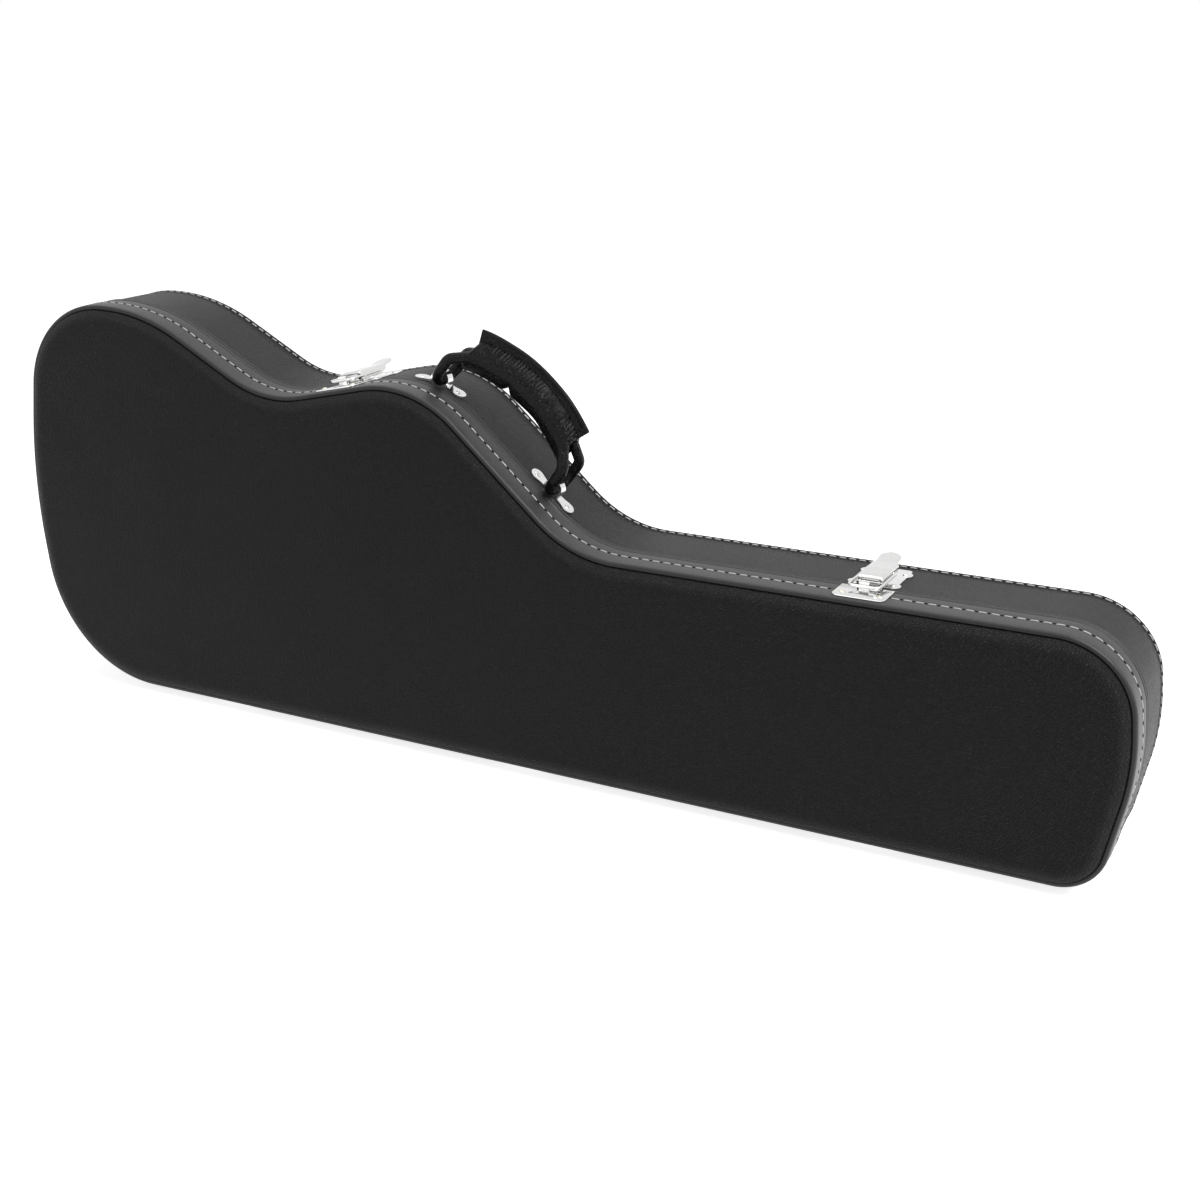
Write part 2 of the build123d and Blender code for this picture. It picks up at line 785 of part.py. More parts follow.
def handle_loop(side):
    """Leather-wrapped loop: a half ring under the staple and two legs that run into the grip."""
    end_x = side * (grip_half - 4)
    leg_x = side * loop_at
    loop_plane = Plane(
        origin=handle_plane.from_local_coords((0, 0, 0)), x_dir=handle_way, z_dir=handle_plane.y_dir
    )
    with BuildPart() as loop:
        with BuildLine(loop_plane) as path:
            FilletPolyline(
                (end_x, loop_r * 0.55, grip_end_rise + 1),
                (leg_x, loop_r, 12),
                (leg_x, loop_r, -loop_r),
                (leg_x, -loop_r, -loop_r),
                (leg_x, -loop_r, 12),
                (end_x, -loop_r * 0.55, grip_end_rise + 1),
                radius=(9, loop_r - 0.02, loop_r - 0.02, 9),
            )
        start = path.wires()[0] @ 0
        with BuildSketch(Plane(origin=start, z_dir=path.wires()[0] % 0)):
            Circle(loop_tube_r)
        sweep(path=path.wires()[0])
        add(handle_grip.part, mode=Mode.SUBTRACT)
    return loop.part.solids().sort_by(SortBy.VOLUME)[-1]


save(Part() + handle_loop(-1), "handle_loop_left")
save(Part() + handle_loop(1), "handle_loop_right")

# Padding and the accessory well inside the body.
inner_z = foot_height + lining_inset
neck_inner_top = foot_height + outline[NECK_JOINT][1] - lining_inset
inner_mid_z = (inner_z + neck_inner_top) / 2
well_face = floor_y - well_height


def cross_wall(x, thickness, near_y):
    """A padded wall across the neck end of the body."""
    with BuildPart() as wall:
        with BuildSketch(Plane.XZ.offset(-floor_y)):
            with Locations((x, inner_mid_z)):
                Rectangle(thickness, neck_inner_top - inner_z - 2 * plush_clear)
        extrude(amount=floor_y - near_y)
    return wall.part


for well_name, well_x in zip(("body_side", "neck_side"), well_xs):
    save(cross_wall(well_x, well_wall_t, well_face), f"well_wall_{well_name}")

with BuildPart() as neck_rest:
    add(cross_wall(neck_wall_x, neck_wall_t, part_y - lip_reach))
    with BuildSketch(Plane.XZ.offset(lip_reach - part_y)):
        with Locations((neck_wall_x, inner_mid_z)):
            RectangleRounded(2 * neck_wall_t, neck_slot_w, 12)
    extrude(amount=-neck_slot_depth, mode=Mode.SUBTRACT)
save(neck_rest.part, "neck_rest")

with BuildPart() as head_pad:
    with BuildSketch(Plane.XZ.offset(-floor_y)):
        with Locations((head_pad_x, inner_mid_z)):
            RectangleRounded(head_pad_t, neck_slot_w * 1.6, 6)
    extrude(amount=floor_y - well_face)
save(head_pad.part, "head_pad")

with BuildPart() as butt_pad:
    with BuildSketch(Plane.XZ.offset(-floor_y)):
        with Locations((butt_pad_x, butt_pad_z + butt_pad_h / 2)):
            RectangleRounded(butt_pad_t, butt_pad_h, 6)
    extrude(amount=floor_y - well_face)
save(butt_pad.part, "butt_pad")
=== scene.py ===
"""A hard guitar case: vinyl covers, stitching, latches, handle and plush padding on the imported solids.

X runs from the butt end to the headstock end, Y from the lid to the back, Z is up.
Sizes in this file are in millimetres unless a name says otherwise; the scene is in metres.
"""
import bisect
import math
import random

import bmesh
import bpy
from bpy.props import FloatProperty, FloatVectorProperty, IntProperty, PointerProperty
from bpy.types import Operator, Panel, PropertyGroup
from mathutils import Matrix, Vector, noise


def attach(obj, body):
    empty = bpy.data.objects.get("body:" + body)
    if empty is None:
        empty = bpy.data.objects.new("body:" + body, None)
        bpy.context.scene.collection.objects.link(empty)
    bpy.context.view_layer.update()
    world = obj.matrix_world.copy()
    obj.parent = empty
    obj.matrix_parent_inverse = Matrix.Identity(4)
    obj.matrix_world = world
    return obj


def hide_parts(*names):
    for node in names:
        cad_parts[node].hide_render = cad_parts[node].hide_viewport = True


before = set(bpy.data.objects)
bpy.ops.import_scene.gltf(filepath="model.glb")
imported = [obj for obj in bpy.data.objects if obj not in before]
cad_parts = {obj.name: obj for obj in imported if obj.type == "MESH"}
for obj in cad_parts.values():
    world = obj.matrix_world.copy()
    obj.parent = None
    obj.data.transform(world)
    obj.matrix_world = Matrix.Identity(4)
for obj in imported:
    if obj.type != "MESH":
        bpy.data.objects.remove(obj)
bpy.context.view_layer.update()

bl_info = {
    "name": "Guitar case dressing",
    "version": (1, 0, 0),
    "blender": (4, 5, 0),
    "location": "3D View > Sidebar > Guitar case",
    "description": "Covers, stitching, latches, handle and padding of a hard guitar case",
    "category": "Object",
}

MM = 0.001
SAME_SPOT = 1e-6

# Outline of the shell: x from the middle, z from the underside of the wall, corner radius.
CORNERS = (
    (-498.7, 0, 120),
    (-519.7, 190, 500),
    (-493.7, 361, 92),
    (-364.7, 361, 180),
    (-235.2, 292, 105),
    (-81.7, 326, 103),
    (65.3, 196, 105),
    (508.3, 196, 62),
    (517.3, 100, 200),
    (497.3, 0, 38),
)
WAIST, BOUT, NECK_JOINT = 4, 5, 6
FOOT_HEIGHT = 8.0
ARC_STEP = 5.0
LINE_STEP = 12.0

# Depths, front to back.
FRONT_Y = -54.75
GROOVE_Y = -50.25
BOARD_Y = -49.25
LID_RIM_Y = -14.15
PART_Y = -13.75
WALL_BACK_Y = 53.25
BACK_Y = 54.75
WALL_T = 5.0
PAD_INSET = 4.2

# Hinges and feet under the straight side, which the covers keep clear of.
HINGE_XS = (-300.0, 10.0, 320.0)
HINGE_HALF = 24.4
TUCK_RAMP = 1.0
FOOT_XS = (-350.0, 410.0)
FOOT_HALF = 10.0

# Rows of stitching.
FRONT_ROW_Y = -31.75
BACK_ROW_Y = 48.0
HOLE_DEEP = 0.62

# Latches, in their own frames: across the latch, depth, height over the wall.
WAIST_LATCH_ALONG = 72.9
NECK_LATCH_ALONG = 239.0
LATCH_HALF = 21.0
BAIL_PIN_Y, BAIL_H = 9.25, 6.2
TAIL_Y = 39.0
TAB_ARC_Y = 31.0
TAB_HALF = 7.9
CREASE_YS = (-3.0, 9.0)
CREASE_H = 9.5
CREASE_R = 0.55
CREASE_HALF = 8.4
PLATE_EDGE = 0.3
WIRE_R = 1.3
LEVER_HALF = 9.5
SHEET_T = 1.1
HOOK_Y = -28.4
PLATE_TOP = 1.2
CATCH_TOP = 2.0
RIVET_HALF = 15.0
RIVET_R = 2.2
RIVET_H = 0.9
BASE_RIVET_YS = (-4.95, 25.05)
CATCH_RIVET_Y = -36.75

# Handle, in its own frame: along the handle, depth, away from the wall.
HANDLE_Y = -6.75
RIGHT_LOOP_ALONG = 139.4
LEFT_LOOP_TILT = 19.0
LOOP_AXIS_H = 20.0
LOOP_R = 15.0
TUBE_R = 4.7
GRIP_HALF = 57.0
GRIP_END_RISE = 24.0
GRIP_MID_RISE = 38.0
GRIP_R = 13.3
NOTCH_AT = -13.5
FIN_HALF = 62.0
FIN_END_RISE = 46.0
FIN_MID_RISE = 59.0
STAPLE_SCREW_AT = 18.4
STAPLE_HALF = 7.2
STAPLE_DROP = 8.8
STAPLE_SEAT_H = 0.2


# The look of the case, as a user would change it.
class CoverLook(PropertyGroup):
    wall_colour: FloatVectorProperty(
        name="Wall colour", description="Grained vinyl round the body", subtype="COLOR",
        default=(0.022, 0.022, 0.023), min=0, max=1)
    band_colour: FloatVectorProperty(
        name="Band colour", description="Smooth vinyl round the lid and its piping", subtype="COLOR",
        default=(0.043, 0.043, 0.044), min=0, max=1)
    panel_colour: FloatVectorProperty(
        name="Panel colour", description="Padded vinyl on the front and flat vinyl on the back",
        subtype="COLOR", default=(0.0052, 0.0052, 0.0054), min=0, max=1)
    thread_colour: FloatVectorProperty(
        name="Thread colour", description="Stitching round both edges", subtype="COLOR",
        default=(0.62, 0.61, 0.58), min=0, max=1)
    wall_grain: FloatProperty(
        name="Wall grain", description="Size of a pebble in the wall's vinyl", unit="LENGTH",
        default=0.0016, min=0.0002)
    panel_grain: FloatProperty(
        name="Panel grain", description="Size of a pebble in the panel's vinyl", unit="LENGTH",
        default=0.0022, min=0.0002)
    front_stitches: IntProperty(
        name="Front stitches", description="Number of stitches round the lid's band", default=268, min=10)
    back_stitches: IntProperty(
        name="Back stitches", description="Number of stitches round the back edge", default=300, min=10)
    stitch_share: FloatProperty(
        name="Stitch share", description="Part of the pitch that shows as thread", default=0.68,
        min=0.1, max=0.95)
    thread_radius: FloatProperty(
        name="Thread radius", description="Half the thickness of the thread", unit="LENGTH",
        default=0.00055, min=0.0001)


class MetalLook(PropertyGroup):
    chrome_colour: FloatVectorProperty(
        name="Chrome colour", description="Latches, staples and screws", subtype="COLOR",
        default=(0.74, 0.74, 0.735), min=0, max=1)
    rivet_colour: FloatVectorProperty(
        name="Rivet colour", description="Brass rivets of the catch plates", subtype="COLOR",
        default=(0.76, 0.72, 0.60), min=0, max=1)
    steel_colour: FloatVectorProperty(
        name="Steel colour", description="Nickel plated hinges", subtype="COLOR",
        default=(0.60, 0.60, 0.59), min=0, max=1)


class HandleLook(PropertyGroup):
    leather_colour: FloatVectorProperty(
        name="Leather colour", description="Sleeve, fin and loops of the handle", subtype="COLOR",
        default=(0.0022, 0.0022, 0.0024), min=0, max=1)
    wrinkle_pitch: FloatProperty(
        name="Wrinkle pitch", description="Distance between the sleeve's wrinkles", unit="LENGTH",
        default=0.0031, min=0.001)
    wrinkle_depth: FloatProperty(
        name="Wrinkle depth", description="Height of the sleeve's wrinkles", unit="LENGTH",
        default=0.00045, min=0.0)


class PaddingLook(PropertyGroup):
    plush_colour: FloatVectorProperty(
        name="Plush colour", description="Short pile that lines the case", subtype="COLOR",
        default=(0.030, 0.030, 0.033), min=0, max=1)
    pad_fill: FloatProperty(
        name="Pad fill", description="How full the foam pads are", default=0.9, min=0, max=1)


class StageLook(PropertyGroup):
    floor_colour: FloatVectorProperty(
        name="Floor colour", description="Plain floor under the case", subtype="COLOR",
        default=(0.86, 0.86, 0.86), min=0, max=1)
    key_watts: FloatProperty(
        name="Key light", description="Power of the soft light above on the right", default=66, min=0)
    top_watts: FloatProperty(
        name="Top light", description="Power of the soft light overhead", default=11, min=0)
    fill_watts: FloatProperty(
        name="Fill light", description="Power of the soft light in front", default=10, min=0)


def look(name):
    """One of the scene's groups of settings."""
    return getattr(bpy.context.scene, name)


# Outline of the shell as spots with their outward normals.
def corner_arc(index):
    """Start, end, centre, radius and turn of the arc that rounds one corner."""
    corner = Vector(CORNERS[index][:2])
    radius = CORNERS[index][2]
    before = (Vector(CORNERS[index - 1][:2]) - corner).normalized()
    after = (Vector(CORNERS[(index + 1) % len(CORNERS)][:2]) - corner).normalized()
    half = before.angle(after) / 2
    reach = radius / math.tan(half)
    turn = 1 if before.x * after.y - before.y * after.x > 0 else -1
    centre = corner + (before + after).normalized() * (radius / math.sin(half))
    return corner + before * reach, corner + after * reach, centre, radius, turn, math.pi - 2 * half


def trace_outline():
    """Spots (x, z, out_x, out_z, distance) round the shell, clockwise from the lower butt corner."""
    spots = []
    travelled = 0.0
    for index in range(len(CORNERS)):
        start, end, centre, radius, turn, sweep = corner_arc(index)
        first = math.atan2(start.y - centre.y, start.x - centre.x)
        count = max(4, math.ceil(radius * sweep / ARC_STEP), math.ceil(math.degrees(sweep) / 5))
        for step in range(count + 1):
            lean = first - turn * sweep * step / count
            out = Vector((math.cos(lean), math.sin(lean)))
            spot = centre + out * radius
            spots.append((spot.x, spot.y, out.x * turn, out.y * turn,
                          travelled + radius * sweep * step / count))
        travelled += radius * sweep
        goal = corner_arc((index + 1) % len(CORNERS))[0]
        way = (goal - end).normalized()
        length = (goal - end).length
        marks = {length * step / math.ceil(length / LINE_STEP)
                 for step in range(1, math.ceil(length / LINE_STEP))}
        if index == len(CORNERS) - 1:
            for hinge_x in HINGE_XS:
                for reach in (HINGE_HALF - 0.1, HINGE_HALF + TUCK_RAMP):
                    marks |= {end.x - hinge_x + reach, end.x - hinge_x - reach}
        for mark in sorted(marks):
            spot = end + way * mark
            spots.append((spot.x, spot.y, -way.y, way.x, travelled + mark))
        travelled += length
    return spots, travelled


ROUND, PERIMETER = trace_outline()
DISTANCES = [spot[4] for spot in ROUND]


def under_hinge(x, z):
    """Whether a spot on the outline lies under a hinge."""
    return z < 0.5 and any(abs(x - hinge_x) < HINGE_HALF for hinge_x in HINGE_XS)


def ring_at(inset, depth):
    """The outline moved inwards, at one depth, as points in metres."""
    ring = []
    for x, z, out_x, out_z, _ in ROUND:
        kept = max(inset, 0.05) if under_hinge(x, z) else inset
        spot = Vector((x - out_x * kept, depth, z - out_z * kept + FOOT_HEIGHT))
        ring.append(spot * MM)
    return ring


def spot_along(distance):
    """Place and outward direction on the outline at a distance along it."""
    index = bisect.bisect_right(DISTANCES, distance) - 1
    here = ROUND[index]
    there = ROUND[(index + 1) % len(ROUND)]
    length = (there[4] if there[4] > here[4] else PERIMETER) - here[4]
    share = (distance - here[4]) / max(length, 1e-6)
    place = Vector(here[:2]).lerp(Vector(there[:2]), share)
    out = Vector(here[2:4]).lerp(Vector(there[2:4]), share).normalized()
    return place, out


class WallFrame:
    """A frame on the wall: across along the wall, depth into the case, height out of it."""

    def __init__(self, spot, way):
        self.origin = Vector((spot.x, 0, spot.y + FOOT_HEIGHT))
        self.way = Vector((way.x, 0, way.y))
        self.out = Vector((-way.y, 0, way.x))

    def at(self, across, depth, height):
        """A point of the frame, in metres."""
        return (self.origin + self.way * across + Vector((0, depth, 0)) + self.out * height) * MM

    def matrix(self, across, depth, height):
        """The frame's turn at one of its points."""
        turn = Matrix((self.way, Vector((0, 1, 0)), self.out)).transposed().to_4x4()
        return Matrix.Translation(self.at(across, depth, height)) @ turn


def edge_frame(corner, along):
    """The frame on the straight run after a corner."""
    start = Vector(CORNERS[corner][:2])
    way = (Vector(CORNERS[corner + 1][:2]) - start).normalized()
    return WallFrame(start + way * along, way)


def arc_frame(corner, tilt):
    """The frame on a corner's arc where the wall leans by tilt degrees."""
    centre, radius = corner_arc(corner)[2:4]
    lean = math.radians(tilt)
    spot = centre + Vector((math.sin(lean), math.cos(lean))) * radius
    return WallFrame(spot, Vector((math.cos(lean), -math.sin(lean))))


LATCHES = {
    "waist": edge_frame(WAIST, WAIST_LATCH_ALONG),
    "neck": edge_frame(NECK_JOINT, NECK_LATCH_ALONG),
}
LEFT_LOOP = arc_frame(BOUT, LEFT_LOOP_TILT).at(0, HANDLE_Y, LOOP_AXIS_H) / MM
RIGHT_LOOP = edge_frame(BOUT, RIGHT_LOOP_ALONG).at(0, HANDLE_Y, LOOP_AXIS_H) / MM
HANDLE_MID = (LEFT_LOOP + RIGHT_LOOP) / 2
HANDLE_WAY = (RIGHT_LOOP - LEFT_LOOP).normalized()
HANDLE_OUT = HANDLE_WAY.cross(Vector((0, 1, 0)))
LOOP_AT = (RIGHT_LOOP - LEFT_LOOP).length / 2


def handle_point(along, depth, rise):
    """A point of the handle's frame, in metres."""
    return (HANDLE_MID + HANDLE_WAY * along + Vector((0, depth, 0)) + HANDLE_OUT * rise) * MM


def staple_places():
    """Wall frame, arch height and wall radius of each staple, where its loop comes lowest."""
    places = {}
    for name, side in (("left", -1), ("right", 1)):
        low = handle_point(side * LOOP_AT, 0, -LOOP_R) / MM
        centre, radius = corner_arc(BOUT)[2:4]
        if name == "left":
            tilt = math.degrees(math.atan2(low.x - centre.x, low.z - FOOT_HEIGHT - centre.y))
            wall, curve = arc_frame(BOUT, tilt), radius
        else:
            start = edge_frame(BOUT, 0)
            wall, curve = edge_frame(BOUT, (low - start.origin).dot(start.way)), None
        rise = (low - wall.origin).dot(wall.out)
        places[name] = (wall, rise + LOOP_R - STAPLE_DROP + 1.5, curve)
    return places


STAPLES = staple_places()


# Modelling.
def only(piece):
    """Selects one object and makes it the active one."""
    bpy.ops.object.select_all(action="DESELECT")
    piece.select_set(True)
    bpy.context.view_layer.objects.active = piece


def smooth(piece, degrees):
    """Smooth shading, with edges sharper than an angle kept sharp."""
    only(piece)
    bpy.ops.object.shade_smooth_by_angle(angle=math.radians(degrees))


def edit_whole(piece, *steps):
    """Runs mesh operators on the whole of a piece, each given with its settings."""
    only(piece)
    bpy.ops.object.mode_set(mode="EDIT")
    bpy.ops.mesh.select_all(action="SELECT")
    for operator, settings in steps:
        operator(**settings)
    bpy.ops.object.mode_set(mode="OBJECT")


def tidy(piece, degrees=40):
    """Merges doubles, turns the faces outwards and shades a mesh."""
    edit_whole(piece, (bpy.ops.mesh.remove_doubles, {"threshold": SAME_SPOT}),
               (bpy.ops.mesh.normals_make_consistent, {"inside": False}))
    smooth(piece, degrees)


def loft(name, rings, closed=False, fill=True, degrees=40, around=None):
    """Draws a circle of vertices on the first ring and extrudes it on through the others.

    Its UV runs in metres: round the ring, and from ring to ring.
    """
    count = len(rings[0])
    bpy.ops.object.select_all(action="DESELECT")
    bpy.ops.mesh.primitive_circle_add(vertices=count, fill_type="NOTHING")
    piece = bpy.context.object
    piece.name = name
    rows = list(rings) + ([rings[0]] if closed else [])
    if around is None:
        around = [0.0]
        for index in range(count):
            around.append(around[-1] + (rings[0][(index + 1) % count] - rings[0][index]).length)
    travelled = [0.0]
    for row in range(1, len(rows)):
        travelled.append(travelled[-1] + (rows[row][0] - rows[row - 1][0]).length)
    bpy.ops.object.mode_set(mode="EDIT")
    mesh = bmesh.from_edit_mesh(piece.data)
    order = mesh.verts.layers.int.new("order")
    level = mesh.verts.layers.int.new("level")
    mesh.verts.ensure_lookup_table()
    for index, vert in enumerate(mesh.verts):
        vert[order] = index
        vert.co = rows[0][index]
    bpy.ops.mesh.select_all(action="SELECT")
    for row in range(1, len(rows)):
        bpy.ops.mesh.extrude_edges_move()
        mesh = bmesh.from_edit_mesh(piece.data)
        order = mesh.verts.layers.int["order"]
        level = mesh.verts.layers.int["level"]
        for vert in mesh.verts:
            if vert.select:
                vert[level] = row
                vert.co = rows[row][vert[order]]
    sheet = mesh.loops.layers.uv.verify()
    for face in mesh.faces:
        wraps = max(v[order] for v in face.verts) - min(v[order] for v in face.verts) > 1
        for corner in face.loops:
            index = corner.vert[order]
            if wraps and index == 0:
                index = count
            corner[sheet].uv = (around[index], travelled[corner.vert[level]])
    if fill and not closed:
        for wanted in (0, len(rows) - 1):
            for edge in mesh.edges:
                edge.select = False
            for vert in mesh.verts:
                vert.select = vert[level] == wanted
            mesh.select_flush(True)
            bpy.ops.mesh.edge_face_add()
            mesh = bmesh.from_edit_mesh(piece.data)
            level = mesh.verts.layers.int["level"]
    bmesh.update_edit_mesh(piece.data)
    bpy.ops.object.mode_set(mode="OBJECT")
    tidy(piece, degrees)
    return piece


def sweep_round(name, profile, closed=True):
    """A band round the outline, from a profile of (inset, depth) points."""
    around = [distance * MM for distance in (*DISTANCES, PERIMETER)]
    rings = [ring_at(*spot) for spot in profile]
    return loft(name, rings, closed=closed, around=around)


def circle(centre, side, up, radius, count, shape=None):
    """A ring of points round a centre; shape scales the radius by angle."""
    ring = []
    for index in range(count):
        lean = 2 * math.pi * index / count
        reach = radius * (shape(lean) if shape else 1.0)
        ring.append(centre + (side * math.cos(lean) + up * math.sin(lean)) * reach)
    return ring


def tube(name, path, radius, count, shape=None):
    """A tube along a path of points in metres."""
    rings = []
    up = None
    for index, spot in enumerate(path):
        ahead = path[min(index + 1, len(path) - 1)] - path[max(index - 1, 0)]
        ahead.normalize()
        if up is None:
            up = ahead.orthogonal().normalized()
        up = (up - ahead * up.dot(ahead)).normalized()
        side = up.cross(ahead)
        rings.append(circle(spot, side, up, radius, count, shape))
    return loft(name, rings)


def rounded_path(points, radii, step):
    """A polyline in metres with its inner corners rounded, as evenly spaced points."""
    path = [points[0]]
    for index in range(1, len(points) - 1):
        corner = points[index]
        before = (points[index - 1] - corner).normalized()
        after = (points[index + 1] - corner).normalized()
        half = before.angle(after) / 2
        radius = radii[index - 1]
        reach = radius / math.tan(half)
        centre = corner + (before + after).normalized() * (radius / math.sin(half))
        first = corner + before * reach - centre
        last = corner + after * reach - centre
        count = max(3, math.ceil(radius * (math.pi - 2 * half) / step))
        for turn in range(count + 1):
            path.append(centre + first.normalized().slerp(last.normalized(), turn / count) * radius)
    path.append(points[-1])
    spread = [path[0]]
    for spot in path[1:]:
        gap = (spot - spread[-1]).length
        if gap < step * 0.2:
            continue
        for part in range(1, math.ceil(gap / (2 * step))):
            spread.append(spread[-1].lerp(spot, part / math.ceil(gap / (2 * step))))
        spread.append(spot)
    return spread


def sheet(name, rows, thickness, degrees=40):
    """A grid shaped to rows of points in metres, given its thickness and a small bevel."""
    across, deep = len(rows[0]), len(rows)
    bpy.ops.object.select_all(action="DESELECT")
    bpy.ops.mesh.primitive_grid_add(x_subdivisions=across - 1, y_subdivisions=deep - 1, size=2)
    piece = bpy.context.object
    piece.name = name
    columns = sorted({round(vert.co.x, 5) for vert in piece.data.vertices})
    levels = sorted({round(vert.co.y, 5) for vert in piece.data.vertices})
    if (len(columns), len(levels)) != (across, deep):
        raise RuntimeError(f"{name}: the grid came out as {len(columns)} by {len(levels)}")
    for vert in piece.data.vertices:
        column = columns.index(round(vert.co.x, 5))
        row = levels.index(round(vert.co.y, 5))
        vert.co = rows[row][column]
    only(piece)
    thick = piece.modifiers.new("Thickness", "SOLIDIFY")
    thick.thickness = thickness
    thick.offset = -1
    thick.use_even_offset = True
    bpy.ops.object.modifier_apply(modifier=thick.name)
    tidy(piece, degrees)
    round_edges(piece, 0.00022, 2, degrees)
    return piece


def round_edges(piece, width, segments, degrees=40):
    """Bevels the sharp edges of a mesh."""
    only(piece)
    bevel = piece.modifiers.new("Rounding", "BEVEL")
    bevel.width = width
    bevel.segments = segments
    bevel.limit_method = "ANGLE"
    bevel.angle_limit = math.radians(32)
    bevel.harden_normals = False
    bpy.ops.object.modifier_apply(modifier=bevel.name)
    smooth(piece, degrees)


def copy_of_node(node, name):
    """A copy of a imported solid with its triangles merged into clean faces."""
    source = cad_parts[node]
    piece = bpy.data.objects.new(name, source.data.copy())
    bpy.context.scene.collection.objects.link(piece)
    piece.data.materials.clear()
    only(piece)
    if piece.data.has_custom_normals:
        bpy.ops.mesh.customdata_custom_splitnormals_clear()
    edit_whole(piece, (bpy.ops.mesh.remove_doubles, {"threshold": SAME_SPOT}),
               (bpy.ops.mesh.dissolve_limited, {"angle_limit": math.radians(1.0)}))
    return piece


def lathe(name, seat, profile, count, shape=None):
    """A turned shape on a seat matrix, from a profile of (radius, height) points."""
    rings = []
    for radius, height in profile:
        ring = []
        for index in range(count):
            lean = 2 * math.pi * index / count
            reach = radius * (shape(lean, radius) if shape else 1.0)
            ring.append(seat @ (Vector((reach * math.cos(lean), reach * math.sin(lean), height)) * MM))
        rings.append(ring)
    return loft(name, rings)


def joined(name, parts):
    """Several finished meshes as one piece."""
    bpy.ops.object.select_all(action="DESELECT")
    for part in parts:
        part.select_set(True)
    bpy.context.view_layer.objects.active = parts[0]
    if len(parts) > 1:
        bpy.ops.object.join()
    parts[0].name = name
    return parts[0]


def dress(piece, body, material, replaces=()):
    """Gives a finished piece its material, its body and the solids it stands for."""
    piece.data.materials.clear()
    piece.data.materials.append(material)
    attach(piece, body)
    if replaces:
        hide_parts(*replaces)
    return piece


def repaint(nodes, material):
    """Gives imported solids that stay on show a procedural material."""
    for node in nodes:
        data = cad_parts[node].data
        data.materials.clear()
        data.materials.append(material)


# Materials.
class Nodes:
    """A node tree with short ways to add and link nodes."""

    def __init__(self, tree):
        self.tree = tree

    def add(self, kind, inputs=None, **settings):
        """A new node; inputs are values or sockets by name or number."""
        node = self.tree.nodes.new(kind)
        for key, value in settings.items():
            setattr(node, key, value)
        for key, value in (inputs or {}).items():
            self.feed(node.inputs[key], value)
        return node

    def feed(self, socket, value):
        """Links a socket, or sets its value."""
        if isinstance(value, bpy.types.NodeSocket):
            self.tree.links.new(value, socket)
        else:
            socket.default_value = value

    def math(self, operation, first, second=0.0, third=0.0):
        """The result of a math node."""
        return self.add("ShaderNodeMath", {0: first, 1: second, 2: third}, operation=operation).outputs[0]

    def spread(self, value, low, high, out_low=0.0, out_high=1.0):
        """A value stretched from one range to another."""
        inputs = {"Value": value, "From Min": low, "From Max": high,
                  "To Min": out_low, "To Max": out_high}
        return self.add("ShaderNodeMapRange", inputs).outputs["Result"]

    def blend(self, share, first, second):
        """One colour turning into another."""
        node = self.add("ShaderNodeMix", data_type="RGBA")
        self.feed(node.inputs["Factor"], share)
        self.feed(node.inputs["A"], first)
        self.feed(node.inputs["B"], second)
        return node.outputs["Result"]

    def tint(self, colour, share):
        """A colour made lighter or darker by a varying share."""
        if not isinstance(colour, bpy.types.NodeSocket):
            colour = tuple(colour)[:3]
        node = self.add("ShaderNodeVectorMath", {0: colour}, operation="SCALE")
        self.feed(node.inputs["Scale"], share)
        return node.outputs[0]


def new_group(name, inputs, outputs):
    """An empty node group with named inputs (name, kind, default) and outputs."""
    group = bpy.data.node_groups.new(name, "ShaderNodeTree")
    for label, kind, default in inputs:
        socket = group.interface.new_socket(label, in_out="INPUT", socket_type=kind)
        if default is not None:
            socket.default_value = default
    for label, kind in outputs:
        group.interface.new_socket(label, in_out="OUTPUT", socket_type=kind)
    return group


FLOAT, COLOUR, VECTOR = "NodeSocketFloat", "NodeSocketColor", "NodeSocketVector"


